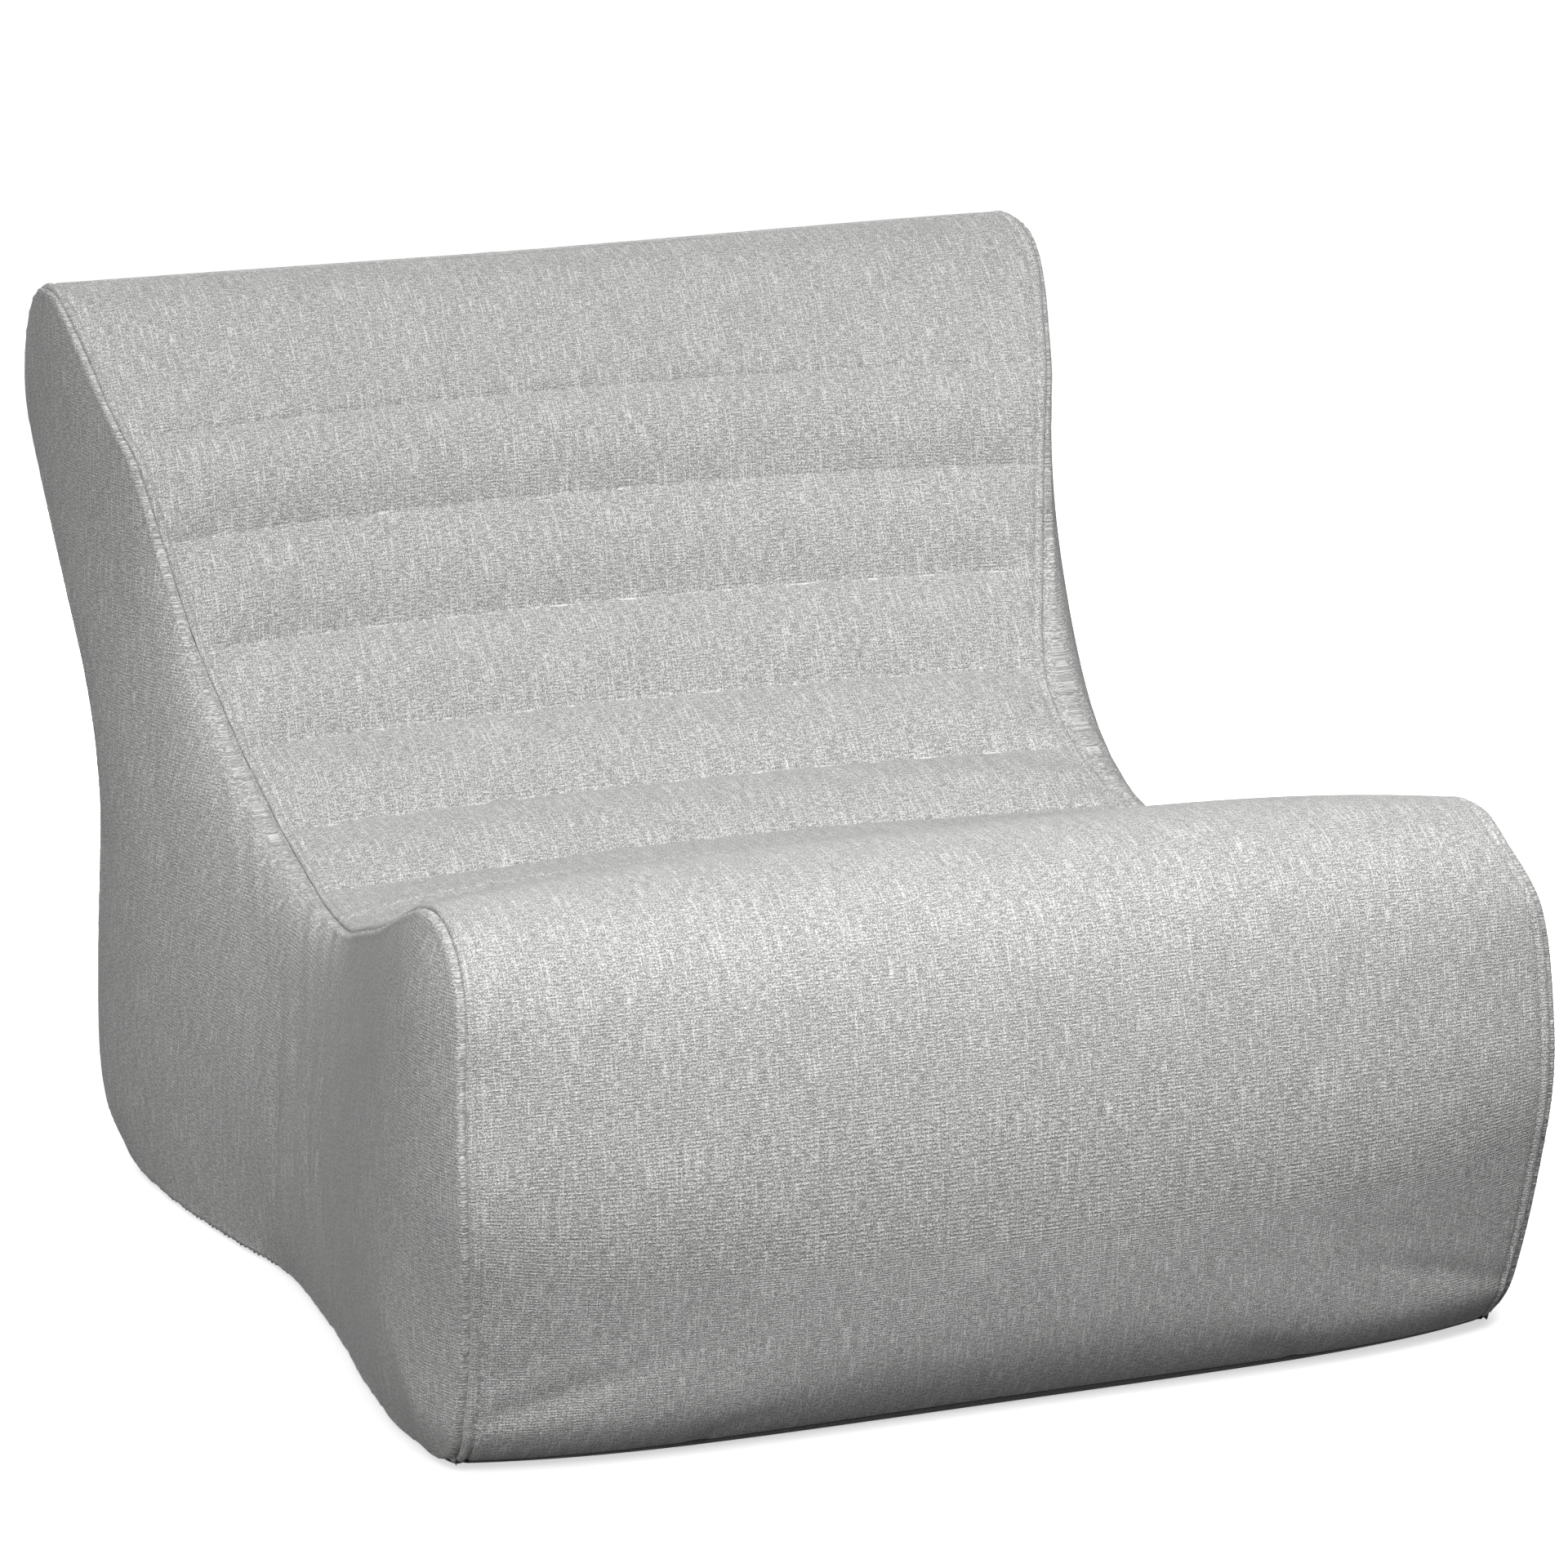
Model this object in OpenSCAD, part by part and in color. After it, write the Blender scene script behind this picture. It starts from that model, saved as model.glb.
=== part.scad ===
// Lounge bean bag chair: a sewn cover over two bead-filled inner bags.
// Millimetres. X is across the chair, -Y is the front, Z is up from the floor.
// The outline is drawn in the plane of the side panels and extruded across the chair.

/* [Overall size] */
// Width across the two side panels, at the front and at the rear
chair_w = 920; // [760:10:1200]
// Height of the back above the floor
back_h = 744; // [620:1:900]
// Distance along the floor between the front foot and the heel
base_len = 905; // [880:1:1100]
// Height of the corner that the rolled nose is rounded from
nose_h = 472; // [400:1:560]

/* [Side outline] */
// How far the nose hangs out in front of the foot
nose_reach = 50; // [20:1:80]
// How far the nose corner stands in front of the foot
nose_corner_reach = 22; // [0:1:50]
// Height at which the front face stands out furthest
face_h = 225; // [150:1:300]
// Distance from the foot to the corner of the crook, where seat meets back
crook_y = 700; // [660:1:740]
// Height of the corner that the crook is rounded from
crook_h = 216; // [160:1:260]
// Slope of the quilted back, from the floor
back_lean = 68.25; // [60:0.25:80]
// Slope of the head roll above the quilting
head_lean = 44.75; // [35:0.25:60]
// Slope of the outside of the back
rear_lean = 53.7; // [50:0.1:60]
// Height of the head roll, measured straight up
head_roll_h = 122; // [90:1:150]
// Height of the hollow at the outside of the back
rear_hollow_h = 367; // [320:1:400]

/* [Roundings] */
// Radius at the front foot
foot_r = 60; // [40:1:80]
// Radius of the bulging front face
face_r = 260; // [150:1:320]
// Radius of the nose roll
nose_r = 85; // [60:1:90]
// Radius of the crook
crook_r = 330; // [250:1:340]
// Radius where the quilting meets the head roll
head_r = 70; // [40:1:100]
// Radius at the front of the crest
crest_front_r = 60; // [40:1:70]
// Radius at the rear of the crest
crest_rear_r = 85; // [60:1:85]
// Radius of the hollow at the outside of the back
rear_hollow_r = 250; // [150:1:300]
// Radius at the heel
heel_r = 110; // [60:1:120]

/* [Waist in plan] */
// How far each side panel is drawn in at the waist
waist_in = 40; // [0:1:60]
// Distance from the foot to the waist
waist_y = 500; // [400:1:600]
// Length of the waist, from full width to full width
waist_len = 940; // [700:10:1000]

/* [Cloth and padding] */
// Thickness of the cover fabric
cover_t = 2; // [1:0.1:3]
// Thickness of the quilted wadding
wadding_t = 18; // [8:1:20]
// Thickness of the cloth behind the wadding
backing_t = 1; // [0.5:0.1:1.5]
// Thickness of the inner bags' cloth
liner_t = 1; // [0.5:0.1:1.5]
// Space between the cover and an inner bag
liner_gap = 1; // [0.5:0.1:2]
// Space between an inner bag and the beads in it
bead_gap = 1; // [0.5:0.1:2]
// Thickness of the cloth wall that holds the crook down
web_t = 1.5; // [1:0.1:3]
// Distance from the foot to that wall
web_y = 570; // [540:1:620]
// Space at each side of that wall, for the inner bags' zips
web_room = 5; // [5:0.5:10]
// How far the base panel turns up at its edges
base_lip = 14; // [8:1:30]
// Distance from the foot to the cross seam in the seat
seat_seam_y = 490; // [420:1:520]
// Distance from the foot to the front edge of the wadding, on the nose
wadding_front_y = 15; // [10:1:40]

/* [Stitching] */
// Distance between two quilting lines
channel_pitch = 94; // [60:1:95]
// Number of quilting lines
channel_lines = 6; // [3:1:6]
// Distance from the side seam to its topstitch
topstitch_in = 11; // [6:1:20]
// Thickness of the stitching thread
thread_d = 1.2; // [0.8:0.1:2]
// Space between a thread and the cloth that it lies on
thread_gap = 0.1; // [0.05:0.05:0.3]

/* [Zips] */
// Length of the cover's zip
cover_zip_len = 700; // [400:10:720]
// Height of the cover's zip above the floor
cover_zip_z = 150; // [130:1:200]
// Length of each inner bag's zip
liner_zip_len = 400; // [200:10:500]
// Height of each inner bag's zip above the floor
liner_zip_z = 150; // [100:1:180]
// Width of one zip tape
tape_w = 14; // [10:1:16]
// Thickness of a zip tape
tape_t = 0.6; // [0.4:0.1:1]
// How far the tapes run on past the coils
tape_end = 16; // [8:1:20]
// Width of one coil
coil_w = 2.6; // [2:0.1:4]
// Thickness of a coil
coil_t = 2.4; // [2:0.1:3]
// Space between the two coils, where the slider's post runs
coil_gap = 1.4; // [1.2:0.1:2]
// Length of a slider
slider_len = 12; // [10:1:16]
// Thickness of a slider's plates
slider_plate_t = 1.5; // [1:0.1:2]
// Running space around a slider
slider_gap = 0.3; // [0.2:0.05:0.5]
// Thickness of a slider's side flanges
flange_t = 0.7; // [0.5:0.1:1]
// Length of a zip stop
stop_len = 3; // [2:0.5:5]

/* [Pull tab] */
// Length of the pull tab
tab_len = 28; // [20:1:40]
// Width of the pull tab
tab_w = 7; // [6:0.5:10]
// Thickness of the pull tab
tab_t = 1.2; // [1:0.1:1.6]
// Radius of the pins that the tab turns on
tab_pin_r = 0.7; // [0.5:0.05:0.9]
// Radial clearance of those pins in the slider's lugs
tab_pin_gap = 0.05; // [0.02:0.01:0.1]

/* [Hidden] */

cover_grey = [0.70, 0.70, 0.69];
base_grey = [0.22, 0.22, 0.23];
lining_white = [0.88, 0.88, 0.86];
thread_grey = [0.55, 0.55, 0.54];
tape_grey = [0.45, 0.45, 0.45];
coil_grey = [0.30, 0.30, 0.31];
metal_grey = [0.62, 0.63, 0.65];

arc_step = 7;            // degrees between two points of a rounded corner
waist_steps = 24;        // straight stretches that make up one side in plan
small_fn = 32;
over = 60;               // how far a cutting shape runs past what it cuts
edge_use = 0.99;         // the share of an edge that its two roundings may take

// ---- The outline's corners, from the front foot up over the nose and round ----

head_h = back_h - head_roll_h;
head_y = crook_y + (head_h - crook_h) / tan(back_lean);
crest_front_y = head_y + head_roll_h / tan(head_lean);
crest_rear_y = base_len + (back_h - rear_hollow_h) / tan(rear_lean);

CORNERS = [
    [0, 0, foot_r],
    [-nose_reach, face_h, face_r],
    [-nose_corner_reach, nose_h, nose_r],
    [crook_y, crook_h, crook_r],
    [head_y, head_h, head_r],
    [crest_front_y, back_h, crest_front_r],
    [crest_rear_y, back_h, crest_rear_r],
    [base_len, rear_hollow_h, rear_hollow_r],
    [base_len, 0, heel_r]
];
HEAD_CORNER = 4;
CREST_REAR = 6;

EDGES = [0:len(CORNERS) - 1];

// ---- Layers: how far each one lies inside the outline, edge by edge ----

quilt_t = wadding_t + backing_t;
zip_back = slider_gap + slider_plate_t + slider_gap + tape_t;

// Edges 2 to 5 are the seat, the quilted back, the head roll and the crest.
function under_quilt(i) = i >= 2 && i <= 5;
// Edge 7 is the upright rear face that carries the cover's zip.
function under_zip(i) = i == 7;
function even(d) = [for (c = CORNERS) d];
function wadding_inner() = [for (i = EDGES) cover_t + (under_quilt(i) ? wadding_t : 0)];
function cavity(d) = [for (i = EDGES) cover_t + (under_quilt(i) ? quilt_t : 0) + d];
function bag(d) = [for (i = EDGES) cavity(d)[i] + (under_zip(i) ? zip_back : 0)];

function wrap(i) = (i + len(CORNERS)) % len(CORNERS);
function xy(c) = [c[0], c[1]];
function unit(v) = v / norm(v);
function cross2(a, b) = a[0] * b[1] - a[1] * b[0];

// The outline runs clockwise as drawn, so its inside is to the right of each edge.
function edge_dir(i) = unit(xy(CORNERS[wrap(i + 1)]) - xy(CORNERS[wrap(i)]));
function inward(i) = [edge_dir(i)[1], -edge_dir(i)[0]];

// Corner i of the outline drawn in by insets[e] along each edge e.
function inset_corner(i, insets) =
    let(before = wrap(i - 1),
        p = xy(CORNERS[i]) + inward(before) * insets[before],
        q = xy(CORNERS[i]) + inward(i) * insets[i],
        u = edge_dir(before),
        v = edge_dir(i))
    p + u * cross2(q - p, v) / cross2(u, v);

// Half the angle between the two edges at corner i.
function half_angle(i) = acos(-edge_dir(wrap(i - 1)) * edge_dir(i)) / 2;

// A layer's own change of radius: convex corners get tighter and hollow ones wider.
function radius_change(i, insets) =
    let(before = wrap(i - 1),
        hollow = cross2(edge_dir(before), edge_dir(i)) > 0,
        share = (insets[before] + insets[i]) / 2)
    hollow ? share : -share;
function wanted_run(i, insets) =
    (CORNERS[i][2] + radius_change(i, insets)) / tan(half_angle(i));

// How much two roundings must shrink so that they do not meet on edge i.
function edge_fit(i, insets) =
    let(after = wrap(i + 1),
        room = norm(inset_corner(after, insets) - inset_corner(i, insets)))
    min(1, edge_use * room / (wanted_run(i, insets) + wanted_run(after, insets)));
// One shrinking serves every layer, so that the layers stay inside one another.
function fit(i) =
    min([for (insets = [even(0), bag(0)]) min(edge_fit(wrap(i - 1), insets), edge_fit(i, insets))]);
FITS = [for (i = EDGES) fit(i)];
function radius(i, insets) = CORNERS[i][2] * FITS[i] + radius_change(i, insets);

function rounded_corner(i, insets) =
    let(c = inset_corner(i, insets),
        r = radius(i, insets),
        u = -edge_dir(wrap(i - 1)),
        v = edge_dir(i),
        half = half_angle(i),
        centre = c + unit(u + v) * r / sin(half),
        start = c + u * r / tan(half) - centre,
        turn = cross2(u, v) > 0 ? 180 - 2 * half : 2 * half - 180,
        steps = ceil(abs(turn) / arc_step))
    [for (k = [0:steps])
        let(a = atan2(start[1], start[0]) - turn * k / steps)
        centre + r * [cos(a), sin(a)]];

function outline(insets) = [for (i = EDGES) each rounded_corner(i, insets)];

front_y = min([for (p = outline(even(0))) p[0]]);
rear_y = max([for (p = outline(even(0))) p[0]]);
mid_y = (front_y + rear_y) / 2;
// The cross seam on the crest lies where its flat top ends.
crest_seam_y = rounded_corner(CREST_REAR, even(0))[0][0];

seat_zip_y = web_y - web_t / 2 - web_room;
back_zip_y = web_y + web_t / 2 + web_room;

// ---- Quilting lines, counted down the back from the head roll ----

function path_length(points, i = 1) =
    i >= len(points) ? 0 : norm(points[i] - points[i - 1]) + path_length(points, i + 1);
function point_at(points, s, i = 0) =
    let(step = norm(points[i + 1] - points[i]),
        along = unit(points[i + 1] - points[i]))
    s <= step ? [points[i] + along * s, along] : point_at(points, s - step, i + 1);
head_s = path_length([for (i = [0:HEAD_CORNER]) each rounded_corner(i, even(0))]);
function line_at(k) = point_at(outline(even(0)), head_s - k * channel_pitch);

// ---- Shared 2D and 3D pieces ----

function half_width(y) =
    let(t = abs(y - waist_y) / (waist_len / 2))
    chair_w / 2 - (t < 1 ? waist_in * (1 + cos(180 * t)) / 2 : 0);

// The chair seen from above, drawn in by d at each side.
module plan(d) {
    step = (rear_y - front_y + 2 * over) / waist_steps;
    side = [for (i = [0:waist_steps])
        let(y = front_y - over + i * step)
        [half_width(y) - d, y]];
    polygon(concat(side, [for (i = [waist_steps:-1:0]) [-side[i][0], side[i][1]]]));
}

// Children are a 2D profile in (y, z). It is extruded across the chair and trimmed to the plan,
// drawn in by d at each side, and moved so that the origin is under the middle of the chair.
module across(d) {
    translate([0, -mid_y, 0])
        intersection() {
            rotate([90, 0, 90])
                linear_extrude(height = 2 * chair_w, center = true) children();
            translate([0, 0, -over]) linear_extrude(height = back_h + 2 * over) plan(d);
        }
}

// The children's part on one side of the middle plane (-1 is left and 1 is right).
module half(side) {
    intersection() {
        children();
        translate([side * chair_w, 0, back_h / 2])
            cube([2 * chair_w, 4 * chair_w, 2 * back_h], center = true);
    }
}

module skin() {
    difference() {
        polygon(outline(even(0)));
        polygon(outline(even(cover_t)));
    }
}

// The part of the outline on top of the chair, from front_edge back to the seam on the crest.
module top_zone(front_edge) {
    polygon([
        [front_edge, back_h + over],
        [crest_seam_y, back_h + over],
        [crest_seam_y, back_h - radius(CREST_REAR, even(0))],
        [(crook_y + base_len) / 2, (crook_h + rear_hollow_h) / 2],
        [front_edge, crook_h]
    ]);
}

module below(z) {
    translate([front_y - over, -over]) square([rear_y - front_y + 2 * over, z + over]);
}

module before(y) {
    translate([front_y - over, -over]) square([y - front_y + over, back_h + 2 * over]);
}

module rear_skin() {
    difference() {
        skin();
        below(base_lip);
        before(seat_seam_y);
        top_zone(seat_seam_y);
    }
}

// ---- Cover ----

module side_panel(side) {
    color(cover_grey) half(side)
        difference() {
            across(0) polygon(outline(even(0)));
            across(cover_t) square(4 * chair_w, center = true);
        }
}

module front_panel() {
    color(cover_grey) across(cover_t)
        difference() {
            intersection() {
                skin();
                before(seat_seam_y);
            }
            below(base_lip);
        }
}

module quilted_panel() {
    color(cover_grey) across(cover_t)
        intersection() {
            skin();
            top_zone(seat_seam_y);
        }
}

module zip_slit(length, y, z) {
    slit_h = coil_gap + 2 * (coil_w + slider_gap + flange_t + slider_gap);
    slit_len = length + 2 * stop_len + 2 * slider_gap;
    translate([0, y, z]) cube([slit_len, 2 * over, slit_h], center = true);
}

module rear_panel() {
    color(cover_grey)
        difference() {
            across(cover_t) difference() {
                rear_skin();
                below(cover_zip_z);
            }
            zip_slit(cover_zip_len, base_len - mid_y, cover_zip_z);
        }
}

module rear_hem() {
    color(cover_grey)
        difference() {
            across(cover_t) intersection() {
                rear_skin();
                below(cover_zip_z);
            }
            zip_slit(cover_zip_len, base_len - mid_y, cover_zip_z);
        }
}

module base_panel() {
    color(base_grey) across(cover_t)
        intersection() {
            skin();
            below(base_lip);
        }
}

module side_topstitch(side) {
    color(thread_grey) half(side)
        difference() {
            across(topstitch_in) difference() {
                polygon(outline(even(-thread_gap - thread_d)));
                polygon(outline(even(-thread_gap)));
                below(base_lip);
            }
            across(topstitch_in + thread_d) square(4 * chair_w, center = true);
        }
}

// ---- Quilting ----

module quilt_wadding() {
    color(lining_white) across(cover_t)
        intersection() {
            difference() {
                polygon(outline(even(cover_t)));
                polygon(outline(wadding_inner()));
            }
            top_zone(wadding_front_y);
        }
}

module quilt_backing() {
    color(lining_white) across(cover_t)
        intersection() {
            difference() {
                polygon(outline(wadding_inner()));
                polygon(outline(cavity(0)));
            }
            top_zone(wadding_front_y);
        }
}

module quilting_thread() {
    color(thread_grey)
        for (k = [0:channel_lines - 1]) {
            at = line_at(k);
            outward = [-at[1][1], at[1][0]];
            centre = at[0] + outward * (thread_gap + thread_d / 2);
            length = 2 * (half_width(at[0][0]) - topstitch_in - 2 * thread_d);
            translate([0, centre[0] - mid_y, centre[1]])
                rotate([0, 90, 0]) cylinder(h = length, d = thread_d, center = true, $fn = small_fn);
        }
}

// ---- Inner bags, beads and the wall between them ----

module crook_web() {
    color(lining_white) across(cover_t)
        intersection() {
            polygon(outline(cavity(0)));
            translate([web_y - web_t / 2, 0]) square([web_t, back_h]);
        }
}

// What lies on one side of the wall (-1 is the seat and 1 is the back), d inside the cavity.
module chamber(side, d, from_web) {
    intersection() {
        polygon(outline(bag(d)));
        if (side < 0) before(web_y - web_t / 2 - from_web);
        else translate([web_y + web_t / 2 + from_web, -over]) square([rear_y, back_h + 2 * over]);
    }
}

module liner(side, zip_y) {
    color(lining_white)
        difference() {
            across(cover_t + liner_gap) chamber(side, liner_gap, web_room);
            across(cover_t + liner_gap + liner_t)
                chamber(side, liner_gap + liner_t, web_room + liner_t);
            intersection() {
                zip_slit(liner_zip_len, zip_y - mid_y, liner_zip_z);
                translate([0, zip_y - mid_y, liner_zip_z])
                    cube([2 * chair_w, 4 * liner_t, back_h], center = true);
            }
        }
}

module beads(side) {
    inset = liner_gap + liner_t + bead_gap;
    color("white") across(cover_t + inset)
        chamber(side, inset, web_room + liner_t + zip_back + bead_gap);
}

// ---- Zips: X runs along the zip and +Y points out of the cloth, whose outer face is at y 0 ----

module zip_tape(length, cloth_t, side) {
    color(tape_grey)
        translate([0, -cloth_t - tape_t / 2, side * (coil_gap + tape_w) / 2])
            cube([length + 2 * (stop_len + tape_end), tape_t, tape_w], center = true);
}

module zip_coil(length, cloth_t, side) {
    color(coil_grey)
        translate([0, coil_t / 2 - cloth_t, side * (coil_gap + coil_w) / 2])
            cube([length, coil_t, coil_w], center = true);
}

// One wide stop at the end where the zip opens, and a stop on each tape at the closed end.
module zip_stops(length, cloth_t) {
    color(metal_grey) {
        translate([-(length + stop_len) / 2, coil_t / 2 - cloth_t, 0])
            cube([stop_len, coil_t, coil_gap + 2 * coil_w], center = true);
        for (side = [-1, 1]) {
            stop_z = side * (coil_gap + coil_w) / 2;
            translate([(length + stop_len) / 2, coil_t / 2 - cloth_t, stop_z])
                cube([stop_len, coil_t, coil_w], center = true);
        }
    }
}

function slider_w() = coil_gap + 2 * (coil_w + slider_gap + flange_t);
function slider_top(cloth_t) = coil_t - cloth_t + slider_gap + slider_plate_t;
// A slider stands at the closed end when the chair is ready to sit in.
function slider_x(length) = (length - slider_len) / 2 - slider_gap;

module slider_body(length, cloth_t) {
    top = slider_top(cloth_t);
    bottom = -cloth_t - tape_t - slider_gap - slider_plate_t;
    flange_z = (slider_w() - flange_t) / 2;
    post_w = coil_gap - 2 * slider_gap;
    color(metal_grey)
        translate([slider_x(length), 0, 0]) {
            translate([0, top - slider_plate_t / 2, 0])
                cube([slider_len, slider_plate_t, slider_w()], center = true);
            translate([0, bottom + slider_plate_t / 2, 0])
                cube([slider_len, slider_plate_t, slider_w()], center = true);
            for (side = [-1, 1])
                translate([0, top - slider_plate_t - coil_t / 2, side * flange_z])
                    cube([slider_len, coil_t, flange_t], center = true);
            translate([slider_len / 4, (top + bottom) / 2, 0])
                cube([slider_len / 4, top - bottom - slider_plate_t, post_w], center = true);
        }
}

eye_r = 1.4;             // the tab's rolled edge, round its pins
eye_clearance = 0.2;     // that edge to the slider's top plate and to the lugs
lug_t = 1.3;
lug_gap = 2.6;           // the middle of the tab to the inner face of a lug
neck_len = 4;
pivot_lift = eye_r + eye_clearance;
neck_w = 2 * (lug_gap - eye_clearance);

// The pivot of the pull tab, above the slider's top plate.
function pivot(length, cloth_t) = [slider_x(length), slider_top(cloth_t) + pivot_lift, 0];

module slider_lugs(length, cloth_t) {
    color(metal_grey)
        difference() {
            for (side = [-1, 1])
                translate(pivot(length, cloth_t) + [0, 0, side * (lug_gap + lug_t / 2)])
                    cube([2 * eye_r, 2 * pivot_lift, lug_t], center = true);
            translate(pivot(length, cloth_t))
                cylinder(h = 4 * lug_gap, r = tab_pin_r + tab_pin_gap, center = true, $fn = small_fn);
        }
}

module pull_tab(length, cloth_t) {
    color(metal_grey)
        translate(pivot(length, cloth_t)) {
            cylinder(h = neck_w, r = eye_r, center = true, $fn = small_fn);
            cylinder(h = 2 * (lug_gap + lug_t), r = tab_pin_r, center = true, $fn = small_fn);
            translate([-neck_len / 2, 0, 0]) cube([neck_len, tab_t, neck_w], center = true);
            difference() {
                translate([-(neck_len + tab_len) / 2, 0, 0])
                    cube([tab_len - neck_len, tab_t, tab_w], center = true);
                translate([-tab_len + tab_w / 2, 0, 0]) rotate([90, 0, 0])
                    cylinder(h = 4 * tab_t, d = tab_w / 2, center = true, $fn = small_fn);
            }
        }
}

// Places a zip's piece: on the cover's rear face, and on the inner bags' faces beside the wall.
module on_cover() {
    translate([0, base_len - mid_y, cover_zip_z]) children();
}

module on_seat_bag() {
    translate([0, seat_zip_y - mid_y, liner_zip_z]) children();
}

module on_back_bag() {
    translate([0, back_zip_y - mid_y, liner_zip_z]) mirror([0, 1, 0]) children();
}

module cover_zip_slider() {
    on_cover() {
        slider_body(cover_zip_len, cover_t);
        slider_lugs(cover_zip_len, cover_t);
    }
}

side_panel(-1);  // side_panel_left
side_panel(1);  // side_panel_right
front_panel();
quilted_panel();
rear_panel();
rear_hem();
base_panel();
quilt_wadding();
quilt_backing();
quilting_thread();
side_topstitch(-1);  // side_topstitch_left
side_topstitch(1);  // side_topstitch_right
crook_web();
liner(-1, seat_zip_y);  // seat_liner
liner(1, back_zip_y);  // back_liner
beads(-1);  // seat_beads
beads(1);  // back_beads
on_cover() zip_tape(cover_zip_len, cover_t, 1);  // cover_zip_tape_upper
on_cover() zip_tape(cover_zip_len, cover_t, -1);  // cover_zip_tape_lower
on_cover() zip_coil(cover_zip_len, cover_t, 1);  // cover_zip_coil_upper
on_cover() zip_coil(cover_zip_len, cover_t, -1);  // cover_zip_coil_lower
on_cover() zip_stops(cover_zip_len, cover_t);  // cover_zip_stops
cover_zip_slider();
on_cover() pull_tab(cover_zip_len, cover_t);  // cover_zip_pull
on_seat_bag() zip_tape(liner_zip_len, liner_t, 1);  // seat_zip_tape_upper
on_seat_bag() zip_tape(liner_zip_len, liner_t, -1);  // seat_zip_tape_lower
on_seat_bag() zip_coil(liner_zip_len, liner_t, 1);  // seat_zip_coil_upper
on_seat_bag() zip_coil(liner_zip_len, liner_t, -1);  // seat_zip_coil_lower
on_seat_bag() zip_stops(liner_zip_len, liner_t);  // seat_zip_stops
on_seat_bag() slider_body(liner_zip_len, liner_t);  // seat_zip_slider
on_back_bag() zip_tape(liner_zip_len, liner_t, 1);  // back_zip_tape_upper
on_back_bag() zip_tape(liner_zip_len, liner_t, -1);  // back_zip_tape_lower
on_back_bag() zip_coil(liner_zip_len, liner_t, 1);  // back_zip_coil_upper
on_back_bag() zip_coil(liner_zip_len, liner_t, -1);  // back_zip_coil_lower
on_back_bag() zip_stops(liner_zip_len, liner_t);  // back_zip_stops
on_back_bag() slider_body(liner_zip_len, liner_t);  // back_zip_slider
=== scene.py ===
# %% [markdown]
# # A low lounge bean bag chair
# The chair is a sewn cover over two bags of foam beads. It has no frame, so its whole look is cloth:
# a long wrap that runs round the side outline, two side panels that close it, and a quilted back.
# The CAD part gives the sizes, the zips and what moves. This script gives the cloth its filled shape.

# %% The tools, and the CAD frame
import math

import bmesh
import bpy
import numpy as np
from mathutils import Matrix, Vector
from mathutils.kdtree import KDTree


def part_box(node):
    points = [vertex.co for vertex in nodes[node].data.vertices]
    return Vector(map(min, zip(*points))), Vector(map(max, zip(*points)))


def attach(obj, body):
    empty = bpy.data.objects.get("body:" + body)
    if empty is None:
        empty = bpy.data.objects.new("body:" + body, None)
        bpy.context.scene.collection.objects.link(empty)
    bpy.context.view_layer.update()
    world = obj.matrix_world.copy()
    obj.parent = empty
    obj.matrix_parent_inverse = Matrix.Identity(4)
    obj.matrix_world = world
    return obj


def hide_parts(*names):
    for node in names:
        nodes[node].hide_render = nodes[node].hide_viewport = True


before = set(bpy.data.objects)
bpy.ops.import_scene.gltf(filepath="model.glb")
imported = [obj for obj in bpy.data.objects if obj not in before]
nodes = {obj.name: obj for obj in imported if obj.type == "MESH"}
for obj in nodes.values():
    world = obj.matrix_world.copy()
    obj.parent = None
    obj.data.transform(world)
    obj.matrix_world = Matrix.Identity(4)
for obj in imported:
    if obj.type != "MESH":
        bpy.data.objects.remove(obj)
bpy.context.view_layer.update()

# %% [markdown]
# ## The side outline
# A maker draws the side panel as a polygon with rounded corners, and everything else follows from it.
# There are two outlines here: the line of the side seam, and the line down the middle of the chair.
# They differ because the filling pushes the front out in the middle and the sitter's back has
# pressed the quilting into a shallow dish. Points on the two lines match one to one, so the wrap
# is a simple sweep from one to the other.

# %% Corners of the two outlines: distance behind the front foot, height, and rounding radius
HALF_DEPTH = 0.52608
SEAM = {
    "foot": (0.000, 0.000, 0.060), "face": (-0.050, 0.225, 0.260), "nose": (-0.022, 0.472, 0.085),
    "crook": (0.700, 0.216, 0.330), "head": (0.862, 0.622, 0.070), "crest": (0.985, 0.740, 0.065),
    "top": (1.182, 0.740, 0.085), "hollow": (0.905, 0.367, 0.250), "heel": (0.905, 0.000, 0.110),
}
MIDDLE = {
    "foot": (-0.038, 0.000, 0.056), "face": (-0.071, 0.215, 0.340), "nose": (-0.024, 0.476, 0.095),
    "crook": (0.742, 0.212, 0.335), "head": (0.905, 0.626, 0.080), "crest": (1.000, 0.742, 0.060),
    "top": (1.186, 0.742, 0.085), "hollow": (0.905, 0.367, 0.250), "heel": (0.905, 0.000, 0.110),
}
PER_ARC = 14  # points on each rounded corner
PER_RUN = 11  # points on the straight run after it
PER_CORNER = PER_ARC + PER_RUN


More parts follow.
